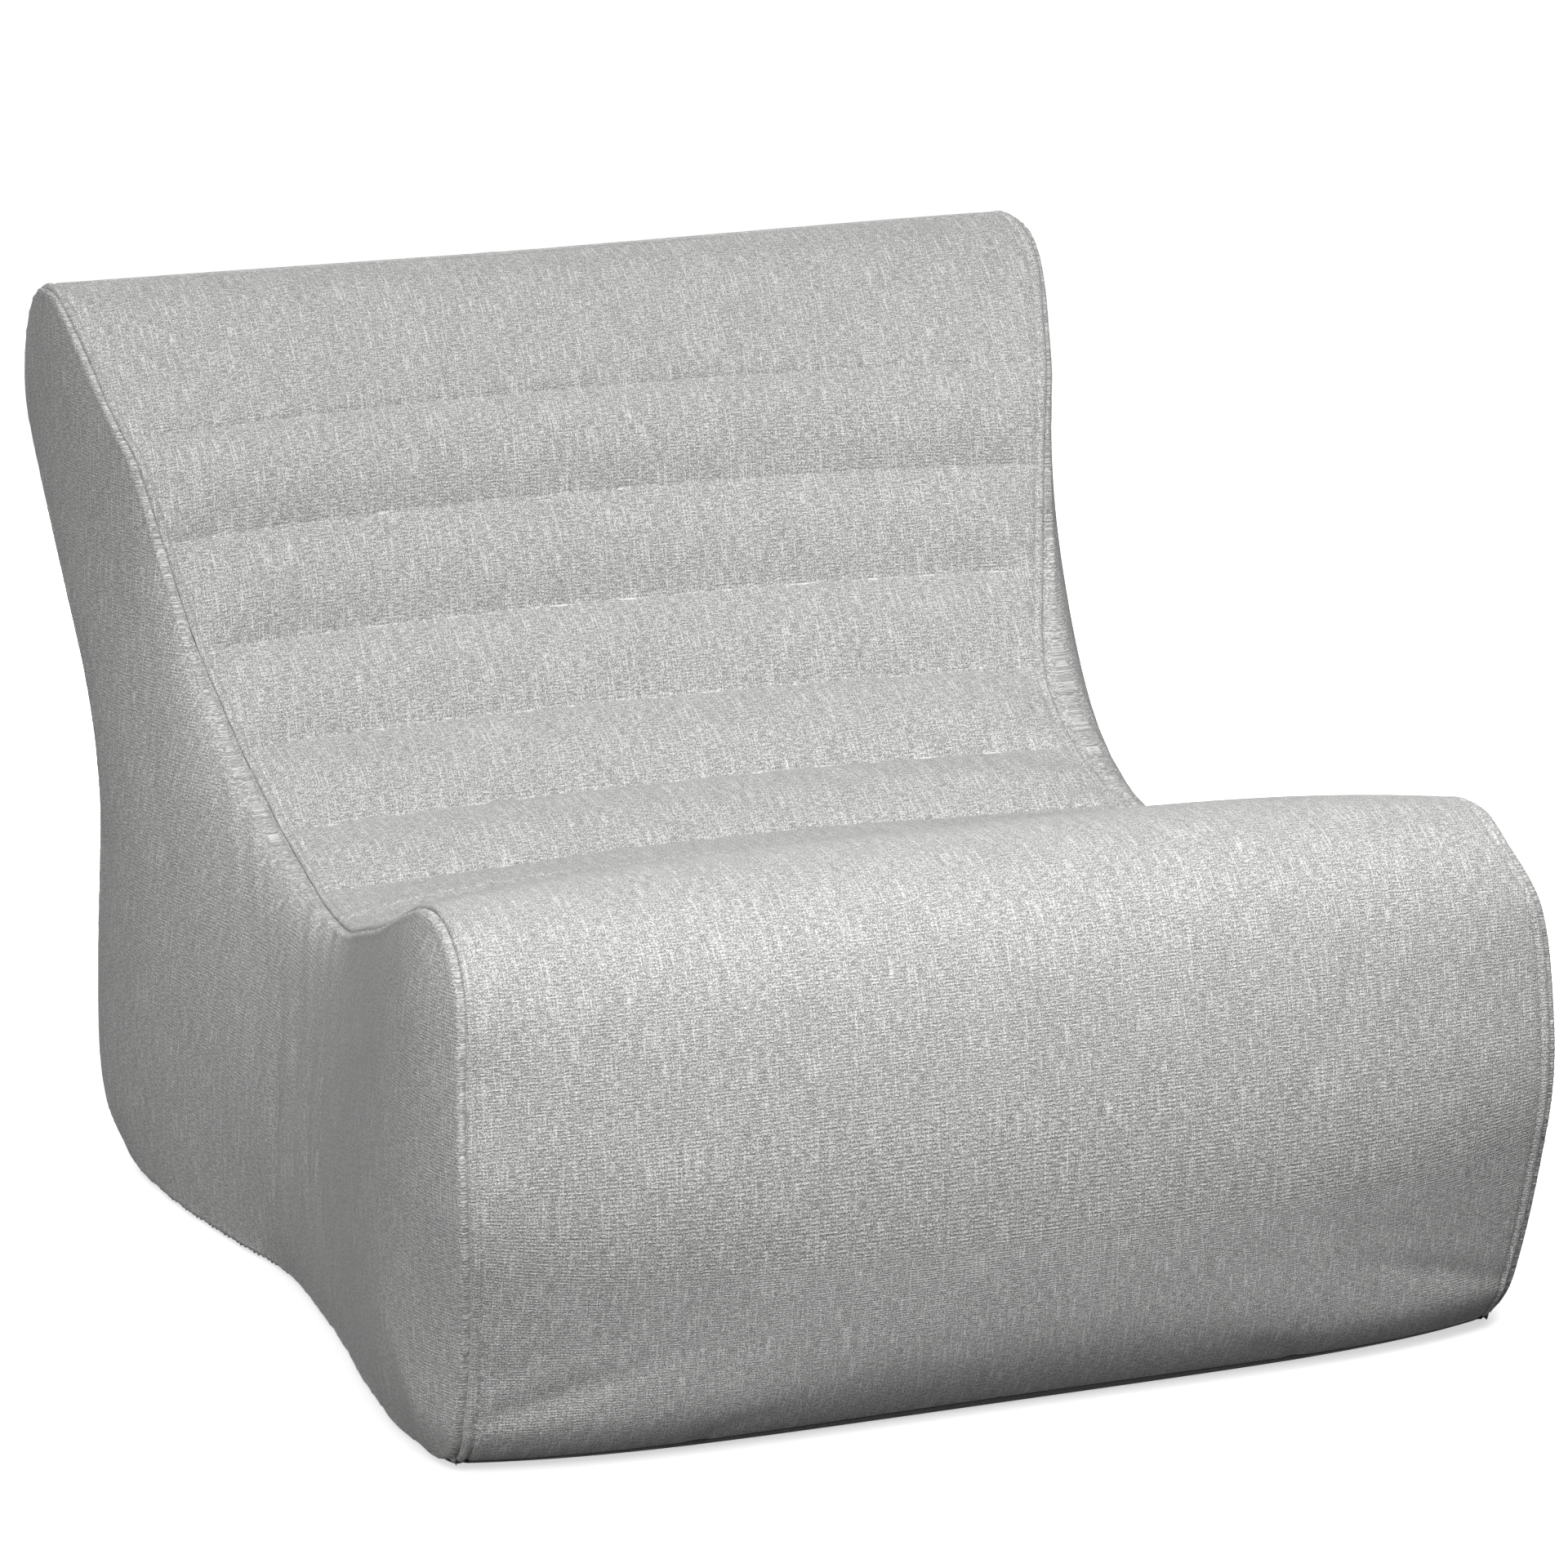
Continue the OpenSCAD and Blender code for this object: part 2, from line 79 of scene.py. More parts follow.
def rounded(corners):
    """The rounded outline from the middle of the first arc round to its start, arc by arc."""
    pts = [np.array(c[:2]) for c in corners.values()]
    radii = [c[2] for c in corners.values()]
    arcs = []
    for i, p in enumerate(pts):
        u = pts[i - 1] - p
        v = pts[(i + 1) % len(pts)] - p
        u, v = u / np.linalg.norm(u), v / np.linalg.norm(v)
        half = math.acos(float(u @ v)) / 2
        middle = p + (u + v) / np.linalg.norm(u + v) * radii[i] / math.sin(half)
        a0, a1 = (math.atan2(*(p + d * radii[i] / math.tan(half) - middle)[::-1]) for d in (u, v))
        a1 = a0 + (a1 - a0 + math.pi) % (2 * math.pi) - math.pi
        angles = np.linspace(a0, a1, PER_ARC)
        arcs.append(middle + radii[i] * np.stack([np.cos(angles), np.sin(angles)], 1))
    return arcs


def along(points):
    """The distance along a line at each of its points."""
    return np.concatenate([[0], np.cumsum(np.linalg.norm(np.diff(points, axis=0), axis=1))])


def matched_lines():
    """Both outlines, sampled so that their points match, and the seam's own length at each point."""
    seam, mid = rounded(SEAM), rounded(MIDDLE)
    lines = []
    for arcs in (seam, mid):
        line = []
        for i, arc in enumerate(arcs):
            following = arcs[(i + 1) % len(arcs)]
            line.extend(arc)
            run = following[0] - arc[-1]
            line.extend(arc[-1] + run * k / (PER_RUN + 1) for k in range(1, PER_RUN + 1))
        line.append(line[0])
        lines.append(np.array(line))
    return lines[0], lines[1], along(lines[0])


seam_raw, middle_raw, seam_raw_s = matched_lines()
LOOP = seam_raw_s[-1]
print("length round the side seam", round(LOOP, 3), "m")


def seam_line(s):
    return np.stack([np.interp(s, seam_raw_s, seam_raw[:, k]) for k in (0, 1)], -1)


def middle_line(s):
    return np.stack([np.interp(s, seam_raw_s, middle_raw[:, k]) for k in (0, 1)], -1)


def s_near(y, z):
    """Where on the seam line the point nearest to (y, z) lies."""
    places = np.linspace(0, LOOP, 20001)
    at = seam_line(places)
    return float(places[np.argmin(np.hypot(at[:, 0] - y, at[:, 1] - z))])


# %% [markdown]
# ## How wide the chair is along the seam
# The seams are drawn in at the crook, because a cloth wall inside holds the seat down there and the
# sitter's weight has packed the beads. The base is waisted too, by less. Smooth curves through a few
# widths describe both.

# %% Half the width at the seam, along the top and along the base
TOP_WIDTH = [(-0.06, 0.452), (0.035, 0.450), (0.085, 0.449), (0.285, 0.418), (0.485, 0.378),
             (0.646, 0.369), (0.716, 0.376), (0.771, 0.388), (0.825, 0.409), (0.869, 0.430),
             (0.988, 0.444), (1.20, 0.446)]
BASE_WIDTH = [(-0.06, 0.446), (0.033, 0.448), (0.11, 0.456), (0.21, 0.450), (0.31, 0.436),
              (0.41, 0.425), (0.50, 0.420), (0.58, 0.433), (0.70, 0.449), (0.80, 0.452), (1.2, 0.450)]


def smooth_curve(knots, y):
    """A smooth line through a few (place, value) pairs."""
    x, v = np.array(knots).T
    m = np.gradient(v, x)
    y = np.clip(y, x[0], x[-1])
    i = np.clip(np.searchsorted(x, y) - 1, 0, len(x) - 2)
    h = x[i + 1] - x[i]
    t = (y - x[i]) / h
    return ((2 * t**3 - 3 * t**2 + 1) * v[i] + (t**3 - 2 * t**2 + t) * h * m[i]
            + (3 * t**2 - 2 * t**3) * v[i + 1] + (t**3 - t**2) * h * m[i + 1])


S_NOSE = s_near(0.03, 0.44)
S_CREST = s_near(1.00, 0.744)
S_HEEL = s_near(0.873, 0.032)
S_FOOT = LOOP + s_near(0.02, 0.02)
S_ZIP = s_near(0.905, 0.150)


def half_width(s):
    """Half the distance between the two side seams, at s along the seam line."""
    p = seam_line(np.mod(s, LOOP))
    top = smooth_curve(TOP_WIDTH, p[..., 0])
    base = smooth_curve(BASE_WIDTH, p[..., 0])
    rear = 0.452 + 0.005 * np.clip((0.70 - p[..., 1]) / 0.6, 0, 1) \
        - 0.006 * np.exp(-((p[..., 1] - 0.34) / 0.12) ** 2)
    share = np.clip((np.mod(s, LOOP) - S_CREST) / 0.20, 0, 1)
    upper = top * (1 - share) + rear * share
    low = np.clip((0.05 - p[..., 1]) / 0.05, 0, 1)
    low = low * low * (3 - 2 * low)
    return upper * (1 - low) + base * low


# %% How far the beads have moved the cover since it was filled: centre (y, z), reach, and the shift
SETTLED = [  # side, centre, reach, shift at the seam (x outwards, z up), and how far inwards it fades
    (1, (0.000, 0.435), (0.120, 0.060), (-0.018, -0.012), 5.0),
    (1, (-0.030, 0.250), (0.110, 0.160), (0.009, 0.000), 6.0),
    (1, (0.960, 0.715), (0.085, 0.055), (0.016, 0.000), 6.0),
    (-1, (-0.040, 0.260), (0.100, 0.120), (0.010, 0.000), 6.0),
    (-1, (0.990, 0.735), (0.070, 0.050), (0.010, 0.001), 4.0),
    (-1, (0.230, 0.380), (0.120, 0.090), (0.000, -0.006), 5.0),
    (-1, (0.010, 0.020), (0.060, 0.050), (0.004, 0.000), 8.0),
    (1, (0.010, 0.020), (0.060, 0.060), (-0.007, 0.003), 5.0),
    (1, (0.720, 0.375), (0.090, 0.070), (-0.010, 0.000), 5.0),
]


def settled_by(y, z, t):
    """The sideways and upward shift of the wrap at (y, z) and t across it."""
    dx, dz = np.zeros(np.shape(t)), np.zeros(np.shape(t))
    for side, centre, reach, shift, power in SETTLED:
        near = np.exp(-((y - centre[0]) / reach[0]) ** 2 - ((z - centre[1]) / reach[1]) ** 2)
        share = near * np.clip(t * side, 0, 1) ** power
        dx, dz = dx + side * shift[0] * share, dz + shift[1] * share
    return dx, dz


# %% The wrap: every point between the two side seams
def wrap_points(s, t):
    """The wrap's surface at s round the outline and t across it, from -1 at the left to 1."""
    seam, middle, w = seam_line(np.mod(s, LOOP)), middle_line(np.mod(s, LOOP)), half_width(s)
    front = np.clip((0.25 - seam[..., 0]) / 0.2, 0, 1) * np.clip((0.5 - seam[..., 1]) / 0.1, 0, 1)
    power = 2.2 + 2.4 * front
    fullness = 1 - np.abs(t) ** power
    yz = seam + (middle - seam) * fullness[..., None]
    dx, dz = settled_by(yz[..., 0], yz[..., 1], t)
    lifted = yz[..., 1] + dz * np.clip(yz[..., 1] / 0.05, 0, 1)
    return np.stack([t * w + dx, yz[..., 0] - HALF_DEPTH, lifted], -1)


# %% [markdown]
# ## A grid for each panel
# Cloth folds best on a mesh of even squares that run with the weave. The wrap is a grid already. A side
# panel has four sides: the front seam, the long seam over seat and back, the rear seam and the base.
# Its inner points start on straight lines between those and are then relaxed, as a soap film would
# settle in the frame of its edges. Filling the outline with triangles would be quicker, but the
# wrinkles would follow the triangles.

# %% Counts of squares, and the rows of the wrap
UP, LONG, ACROSS = 50, 88, 72


def rows_of_wrap():
    """Places round the outline, side by side with the side panels' edges."""
    front = np.linspace(S_FOOT - LOOP, S_NOSE, UP + 1)[:-1]
    top = np.linspace(S_NOSE, S_CREST, LONG + 1)[:-1]
    rear = np.linspace(S_CREST, S_HEEL, UP + 1)[:-1]
    base = np.linspace(S_HEEL, S_FOOT, LONG + 1)[:-1]
    return np.concatenate([front, top, rear, base])


ROWS = rows_of_wrap()
COLUMNS = np.linspace(-1, 1, ACROSS + 1)


def side_rest(side):
    """One side panel's grid before the cloth is let go: UP+1 by LONG+1 points, from the base upwards."""
    def edge(s0, s1, n):
        s = np.linspace(s0, s1, n + 1)
        return wrap_points(s, np.full(s.shape, float(side)))
    front = edge(S_FOOT - LOOP, S_NOSE, UP)
    top = edge(S_NOSE, S_CREST, LONG)
    rear = edge(S_CREST, S_HEEL, UP)[::-1]
    base = edge(S_HEEL, S_FOOT, LONG)[::-1]
    v = np.linspace(0, 1, UP + 1)[:, None, None]
    u = np.linspace(0, 1, LONG + 1)[None, :, None]
    g = ((1 - v) * base[None] + v * top[None] + (1 - u) * front[:, None] + u * rear[:, None]
         - (1 - u) * (1 - v) * base[0] - u * (1 - v) * base[-1] - (1 - u) * v * top[0] - u * v * top[-1])
    for _ in range(400):
        g[1:-1, 1:-1] = (g[2:, 1:-1] + g[:-2, 1:-1] + g[1:-1, 2:] + g[1:-1, :-2]) / 4
    rim = np.concatenate([front, top, rear, base])
    from_seam = np.linalg.norm(g[:, :, None, 1:] - rim[None, None, :, 1:], axis=-1).min(2)
    drawn_in = np.exp(-((g[..., 1] + HALF_DEPTH - 0.62) / 0.22) ** 2 - ((g[..., 2] - 0.34) / 0.10) ** 2)
    front_full = np.exp(-((g[..., 1] + HALF_DEPTH - 0.08) / 0.16) ** 2)
    depth = 0.012 + 0.022 * front_full
    if side > 0:
        depth = depth * (1 - 1.2 * np.exp(-((g[..., 1] + HALF_DEPTH - 0.74) / 0.12) ** 2))
    roundness = 1 - np.exp(-from_seam / (0.040 + 0.012 * front_full))
    g[..., 0] += side * depth * roundness * (1 - 0.6 * drawn_in)
    return g


side_grids = {side: side_rest(side) for side in (-1, 1)}
wrap_grid = wrap_points(*np.meshgrid(ROWS, COLUMNS, indexing="ij"))
print("wrap", wrap_grid.shape[:2], "side", side_grids[-1].shape[:2])

# %% [markdown]
# ## The quilting lines
# Six lines of stitching cross the back and the crook, a hand's breadth apart. They start where the back
# turns into the head roll and are counted down from there. A seventh, above them, hardly presses in.

# %% Places of the quilting lines round the outline
PITCH = 0.094
S_HEAD = float(along(seam_raw[:5 * PER_CORNER - PER_RUN])[-1])
LINES = [S_HEAD - k * PITCH for k in range(6)]
FAINT_LINE = S_HEAD + 0.088
seat_part = slice(3 * PER_CORNER - 5, 4 * PER_CORNER)
S_SEAT_SEAM = float(np.interp(0.490, seam_raw[seat_part, 0], seam_raw_s[seat_part]))
S_TOP_SEAM = s_near(1.014, 0.744)
S_BASE_FRONT = s_near(0.026, 0.004)
S_BASE_REAR = s_near(0.845, 0.004)
print("quilting lines at", [round(s, 3) for s in LINES])

# %% [markdown]
# ## Filling the cover
# A stuffed cover gets its look from cloth that is a little too large for the shape it is sewn into.
# The whole cover is one mesh here. Its seams, quilting lines, zip and base are held, the cloth between
# them is given spare length, and a gentle pressure blows it out, so that it rounds between the seams and
# gathers where the seams are drawn in. Carving folds by hand would give the same number of bumps on
# every panel, which real cloth never has. A cap keeps every point near the cut shape.

# %% Joining the wrap and the two side panels into one mesh
def cover_mesh():
    """One welded mesh of the wrap and both side panels, and the index of each grid point in it."""
    points, index, faces = [], {}, []

    def key(p):
        k = tuple(np.round(p, 5))
        if k not in index:
            index[k] = len(points)
            points.append(p)
        return index[k]
    wrap = np.array([[key(p) for p in row] for row in wrap_grid])
    left, right = (np.array([[key(p) for p in row] for row in side_grids[side]]) for side in (-1, 1))
    closed = np.vstack([wrap, wrap[:1]])
    for grid, turn in ((closed, 1), (left, -1), (right, 1)):
        for i in range(grid.shape[0] - 1):
            for j in range(grid.shape[1] - 1):
                quad = [grid[i, j], grid[i, j + 1], grid[i + 1, j + 1], grid[i + 1, j]]
                faces.append(quad[::turn])
    return np.array(points), faces, wrap, left, right


cover_points, cover_faces, wrap_index, left_index, right_index = cover_mesh()


def held_and_slack():
    """For each point: how firmly it is held, and how much spare cloth it has, both from 0 to 1."""
    held, slack = np.zeros(len(cover_points)), np.full(len(cover_points), 0.08)
    side_s = np.abs(np.subtract.outer(ROWS, LINES)).min(1)
    held[wrap_index[side_s < 0.007].ravel()] = 1
    held[wrap_index[:, [0, -1]].ravel()] = 1
    quilted = (ROWS > S_SEAT_SEAM) & (ROWS < S_HEAD + 0.02)
    slack[wrap_index[quilted].ravel()] = 0.42
    slack[wrap_index[(ROWS > S_HEAD) & (ROWS < S_TOP_SEAM)].ravel()] = 0.12
    edge = np.abs(np.abs(COLUMNS) - 1) < 0.12
    pinch = np.exp(-((seam_line(ROWS)[:, 0] - 0.60) / 0.12) ** 2) * (seam_line(ROWS)[:, 1] > 0.1)
    for i, p in enumerate(pinch):
        slack[wrap_index[i][edge]] = np.maximum(slack[wrap_index[i][edge]], 0.7 * p)
    y = cover_points[:, 1] + HALF_DEPTH
    z = cover_points[:, 2]
    for grid in (left_index, right_index):
        g = grid.ravel()
        near_crook = np.exp(-((y[g] - 0.56) / 0.17) ** 2 - ((z[g] - 0.27) / 0.12) ** 2)
        slack[g] = np.maximum(slack[g], 0.10 + 0.20 * near_crook)
    held[z < 0.004] = 1
    zip_rows = np.abs(ROWS - S_ZIP) < 0.020
    for i in np.where(zip_rows)[0]:
        held[wrap_index[i][np.abs(wrap_grid[i, :, 0]) < 0.375]] = 1
    return held, slack


held, slack = held_and_slack()
print(len(cover_points), "points,", int(held.sum()), "of them held by seams, zip and floor")

# %% Blowing the cover up
SPARE, PRESSURE, CAP = 0.035, 2.2, 0.016


def filled(points, faces):
    """The points after the cloth has settled, with each one's travel capped."""
    mesh = bpy.data.meshes.new("cover_cloth")
    mesh.from_pydata(points.tolist(), [], faces)
    mesh.update()
    obj = bpy.data.objects.new("cover_cloth", mesh)
    bpy.context.scene.collection.objects.link(obj)
    for name, values in (("held", held), ("slack", slack)):
        group = obj.vertex_groups.new(name=name)
        for i, value in enumerate(values):
            if value > 0:
                group.add([i], float(min(value, 1)), "REPLACE")
    cloth = obj.modifiers.new("filling", "CLOTH")
    c = cloth.settings
    c.quality = 5
    c.mass = 0.3
    c.air_damping = 2
    c.tension_stiffness = c.compression_stiffness = 18
    c.shear_stiffness = 6
    c.bending_stiffness = 0.8
    c.vertex_group_mass = "held"
    c.vertex_group_shrink = "slack"
    c.shrink_min, c.shrink_max = 0.0, -SPARE
    c.use_pressure = True
    c.uniform_pressure_force = PRESSURE
    c.effector_weights.gravity = 0
    cloth.collision_settings.use_collision = False
    cloth.point_cache.frame_start, cloth.point_cache.frame_end = 1, 24
    for f in range(1, 25):
        bpy.context.scene.frame_set(f)
    seen = obj.evaluated_get(bpy.context.evaluated_depsgraph_get())
    out = np.zeros(len(points) * 3, np.float32)
    seen.data.vertices.foreach_get("co", out)
    bpy.data.objects.remove(obj)
    bpy.context.scene.frame_set(1)
    travel = out.reshape(-1, 3).astype(float) - points
    length = np.linalg.norm(travel, axis=1, keepdims=True)
    return points + travel * CAP * np.tanh(length / CAP) / np.maximum(length, 1e-9)


settled = filled(cover_points, cover_faces)
travel = np.linalg.norm(settled - cover_points, axis=1)
print("the cloth moved", round(float(travel.mean()) * 1000, 1), "mm on average and",
      round(float(travel.max()) * 1000, 1), "mm at most")
wrap_cloth = settled[wrap_index]
side_cloth = {-1: settled[left_index], 1: settled[right_index]}

# %% [markdown]
# ## From the settled cloth to the finished surface
# The settled mesh is coarse, and stitching is fine. So each panel gets a finer grid that is closest
# together where something is sewn, a smooth curve through the settled points gives it its place, and
# the sewing is pressed into it: a groove at each line of stitches, small puckers beside it, and the
# raised welt between a side seam and its topstitching.

# %% Smooth interpolation in a grid of points
def cubic(values, places, at, loop=0.0):
    """Values at new places along axis 0, on a smooth curve through the given ones."""
    x = np.asarray(places, float)
    if loop:
        x = np.concatenate([x[-2:] - loop, x, x[:2] + loop])
        values = np.concatenate([values[-2:], values, values[:2]])
        at = np.mod(at - x[2], loop) + x[2]
    shape = (-1,) + (1,) * (values.ndim - 1)
    slope = np.gradient(values, x, axis=0)
    i = np.clip(np.searchsorted(x, at, side="right") - 1, 0, len(x) - 2)
    h = (x[i + 1] - x[i]).reshape(shape)
    t = ((at - x[i]).reshape(shape)) / h
    return ((2 * t**3 - 3 * t**2 + 1) * values[i] + (t**3 - 2 * t**2 + t) * h * slope[i]
            + (3 * t**2 - 2 * t**3) * values[i + 1] + (t**3 - t**2) * h * slope[i + 1])


def grid_normals(p, loop=False):
    """Unit normals of a grid of points, out of the chair for the wrap and the left side."""
    if loop:
        along_s = np.roll(p, -1, 0) - np.roll(p, 1, 0)
    else:
        along_s = np.gradient(p, axis=0)
    n = np.cross(np.gradient(p, axis=1), along_s)
    return n / np.maximum(np.linalg.norm(n, axis=-1, keepdims=True), 1e-12)


def wavy(length, seed, count=14, shortest=0.012, longest=0.09):
    """A fixed wandering line: a sum of waves whose lengths and phases come from one seed."""
    r = np.random.RandomState(seed)
    total = np.zeros_like(length)
    for _ in range(count):
        wave = shortest * (longest / shortest) ** r.rand()
        total += np.sin(2 * np.pi * length / wave + 6.28 * r.rand()) * (wave / longest) ** 0.4
    return total / math.sqrt(count)


# %% Finer rows and columns for the wrap
def bunched(low, high, step, centres, reach=0.030, finest=0.0016):
    """Places from low to high, a step apart, closer together near the given centres."""
    out = [low]
    while out[-1] < high - 1e-9:
        near = min((abs(out[-1] - c) for c in centres), default=1)
        out.append(min(out[-1] + finest + (step - finest) * min(1, near / reach), high))
    return np.array(out)


TOPSTITCH_IN = 0.011
SLIT = 0.0048
CROSS_SEAMS = [S_SEAT_SEAM, S_TOP_SEAM]
exact = LINES + [FAINT_LINE] + CROSS_SEAMS
exact += [S_ZIP - SLIT, S_ZIP, S_ZIP + SLIT, S_BASE_REAR, S_BASE_FRONT + LOOP]
FINE_ROWS = bunched(S_FOOT - LOOP, S_FOOT, 0.0075, exact)[:-1]
FINE_ROWS = FINE_ROWS[np.abs(np.subtract.outer(FINE_ROWS, np.mod(exact, LOOP))).min(1) > 0.0008]
FINE_ROWS = np.sort(np.concatenate([FINE_ROWS, np.mod(exact, LOOP)]))
EDGE_STEPS = np.array([0, 0.7, 1.5, 2.6, 4, 6, 8, 9.8, 11, 12.2, 14, 17, 21, 26, 32]) / 1000 / 0.43
FINE_COLUMNS = np.concatenate([-1 + EDGE_STEPS, np.linspace(-0.91, 0.91, 135), 1 - EDGE_STEPS[::-1]])
print("fine wrap", len(FINE_ROWS), "by", len(FINE_COLUMNS))


NOTCH, NOTCH_REACH = 0.0056, 0.0025


def pressed_wrap():
    """The wrap's finished surface, its cloth coordinates, and each edge's points and inward directions."""
    p = cubic(wrap_cloth, ROWS, FINE_ROWS, LOOP)
    p = np.swapaxes(cubic(np.swapaxes(p, 0, 1), COLUMNS, FINE_COLUMNS), 0, 1)
    n = grid_normals(p, True)
    s = FINE_ROWS[:, None]
    x = p[..., 0]
    inboard = (1 - np.abs(FINE_COLUMNS))[None, :] * half_width(FINE_ROWS)[:, None]
    press = np.zeros(p.shape[:2])
    inner = np.clip(inboard / 0.030, 0, 1)
    for k, line in enumerate(LINES):
        d = s - line
        pucker = 1 + 0.5 * wavy(x, 10 + k)
        press -= 0.0042 * np.exp(-np.abs(d) / 0.0050) * inner * (0.75 + 0.25 * pucker)
        press += 0.0007 * wavy(x, 30 + k, 18, 0.010, 0.030) * np.exp(-((np.abs(d) - 0.011) / 0.009) ** 2)
    press -= (0.0009 + 0.0003 * wavy(x, 61)) * np.exp(-np.abs(s - FAINT_LINE) / 0.0030) * inner
    puff = np.sin(np.pi * (S_HEAD - s) / PITCH) ** 2 * ((s > LINES[-1]) & (s < S_HEAD))
    press += 0.0050 * puff * np.clip(inboard / 0.060, 0, 1)
    for line in CROSS_SEAMS:
        d = s - line
        press -= 0.0012 * np.exp(-np.abs(d) / 0.0022)
        press += 0.0003 * np.exp(-((np.abs(d) - 0.006) / 0.004) ** 2)
    run = np.broadcast_to(s, p.shape[:2])
    gather = np.exp(-((p[..., 1] + HALF_DEPTH - 0.62) / 0.16) ** 2) * (p[..., 2] > 0.2)
    press += 0.0008 * np.exp(-((inboard - 0.0065) / 0.0028) ** 2)
    press -= 0.0019 * np.exp(-((inboard - TOPSTITCH_IN) / 0.0017) ** 2)
    ripple = wavy(run + 0.25 * x, 50, 20, 0.022, 0.080)
    press += (0.0002 + 0.0006 * gather) * ripple * np.exp(-((inboard - 0.016) / 0.016) ** 2)
    flat = np.exp(-(np.maximum(np.abs(s - S_ZIP) - 0.012, 0) / 0.01) ** 2) * (np.abs(x) < 0.38)
    press *= 1 - np.clip(flat, 0, 1)
    press *= np.clip(p[..., 2] / 0.004, 0, 1)
    edges = {}
    inward = np.zeros(p.shape)
    for side, column in ((-1, 0), (1, -1)):
        away = n[:, column] + [side, 0, 0]
        away /= np.linalg.norm(away, axis=1, keepdims=True)
        edges[side] = (p[:, column].copy(), away)
        half = FINE_COLUMNS * side > 0
        inward[:, half] = away[:, None]
    p = p + n * press[..., None] - inward * (NOTCH * np.exp(-inboard / NOTCH_REACH))[..., None]
    p[..., 2] = np.maximum(p[..., 2], 0)
    uv = np.stack([x, np.broadcast_to(s, x.shape)], -1)
    return p, uv, edges


wrap_fine, wrap_uv, wrap_edges = pressed_wrap()

# %% The side panels' finished surface
SIDE_FINER = 3


def pressed_side(side):
    """One side panel's finished surface and cloth coordinates, for side -1 (left) or 1."""
    rough = side_cloth[side]
    u0, v0 = np.arange(UP + 1.0), np.arange(LONG + 1.0)
    step = np.array([0, 0.12, 0.3, 0.55, 0.8])
    u = np.concatenate([step, np.arange(3, UP * SIDE_FINER - 2) / SIDE_FINER, UP - step[::-1]])
    v = np.concatenate([step, np.arange(3, LONG * SIDE_FINER - 2) / SIDE_FINER, LONG - step[::-1]])
    p = cubic(rough, u0, u)
    p = np.swapaxes(cubic(np.swapaxes(p, 0, 1), v0, v), 0, 1)
    n = grid_normals(p) * side
    if (n[..., 0] * side).mean() < 0:
        n = -n
    seam, away = wrap_edges[side]
    tree = KDTree(len(seam))
    for i, point in enumerate(seam):
        tree.insert(point, i)
    tree.balance()
    nearest = np.array([[tree.find(point)[1:] for point in row] for row in p])
    edge, inward = nearest[..., 1], away[nearest[..., 0].astype(int)]
    edge[0], edge[-1], edge[:, 0], edge[:, -1] = 0, 0, 0, 0
    top = np.linalg.norm(p - p[-1:], axis=-1)
    run = np.broadcast_to(along(p[-1])[None, :], p.shape[:2])
    crook = np.exp(-((p[..., 1] + HALF_DEPTH - 0.55) / 0.17) ** 2)
    press = 0.0010 * np.exp(-((edge - 0.006) / 0.003) ** 2)
    folds = wavy(run + 0.35 * top, 70, 22, 0.030, 0.110)
    press += (0.0002 + 0.0013 * crook) * folds * np.exp(-top / 0.075) * np.clip(top / 0.006, 0, 1)
    near_base = np.exp(-p[..., 2] / 0.05) * np.clip(p[..., 2] / 0.006, 0, 1)
    press += 0.0009 * wavy(p[..., 1], 90, 12, 0.04, 0.16) * near_base
    press *= np.clip(edge / 0.002, 0, 1)
    p = p + n * press[..., None] - inward * (NOTCH * np.exp(-edge / NOTCH_REACH))[..., None]
    p[..., 2] = np.maximum(p[..., 2], 0)
    uv = np.stack([p[..., 1], p[..., 2]], -1)
    return p, uv


side_fine = {side: pressed_side(side) for side in (-1, 1)}
print("fine side", side_fine[-1][0].shape[:2])

# %% [markdown]
# ## Cloth coordinates and the weave
# Upholstery like this is woven from light and dark grey yarns, so it looks speckled close up and plain
# from far away. The pattern has to run with the cloth, so every panel carries a UV map measured in
# metres of cloth. The shader then needs no picture: waves give the yarns and stretched noise gives
# the slubs, the thick pale stretches of yarn.

# %% A socket that can be used in sums
class Value:
    """Wraps a shader socket, so that an expression on values adds its Math nodes."""

    def __init__(self, tree, socket):
        self.tree, self.socket = tree, socket

    def math(self, operation, *others, clamp=False):
        return node(self.tree, "ShaderNodeMath", {"operation": operation, "use_clamp": clamp},
                    dict(enumerate([self, *others])))

    def __add__(self, other): return self.math("ADD", other)
    def __radd__(self, other): return self.math("ADD", other)
    def __sub__(self, other): return self.math("SUBTRACT", other)
    def __rsub__(self, other):
        return node(self.tree, "ShaderNodeMath", {"operation": "SUBTRACT"}, {0: other, 1: self})

    def __mul__(self, other): return self.math("MULTIPLY", other)
    def __rmul__(self, other): return self.math("MULTIPLY", other)
    def __truediv__(self, other): return self.math("DIVIDE", other)
    def __pow__(self, other): return self.math("POWER", other)

    def sine(self): return self.math("SINE")
    def clamped(self): return self.math("ADD", 0.0, clamp=True)


def node(tree, kind, settings, inputs, output=0):
    """Adds a node, sets it, feeds its sockets with values or links, and gives one output."""
    n = tree.nodes.new(kind)
    for name, value in settings.items():
        if name == "stops":
            ramp = n.color_ramp
            while len(ramp.elements) < len(value):
                ramp.elements.new(0.5)
            for element, (place, colour) in zip(ramp.elements, value):
                element.position, element.color = place, (*colour, 1)
        else:
            setattr(n, name, value)
    for name, value in inputs.items():
        if isinstance(value, Value):
            tree.links.new(value.socket, n.inputs[name])
        else:
            n.inputs[name].default_value = value
    return Value(tree, n.outputs[output])


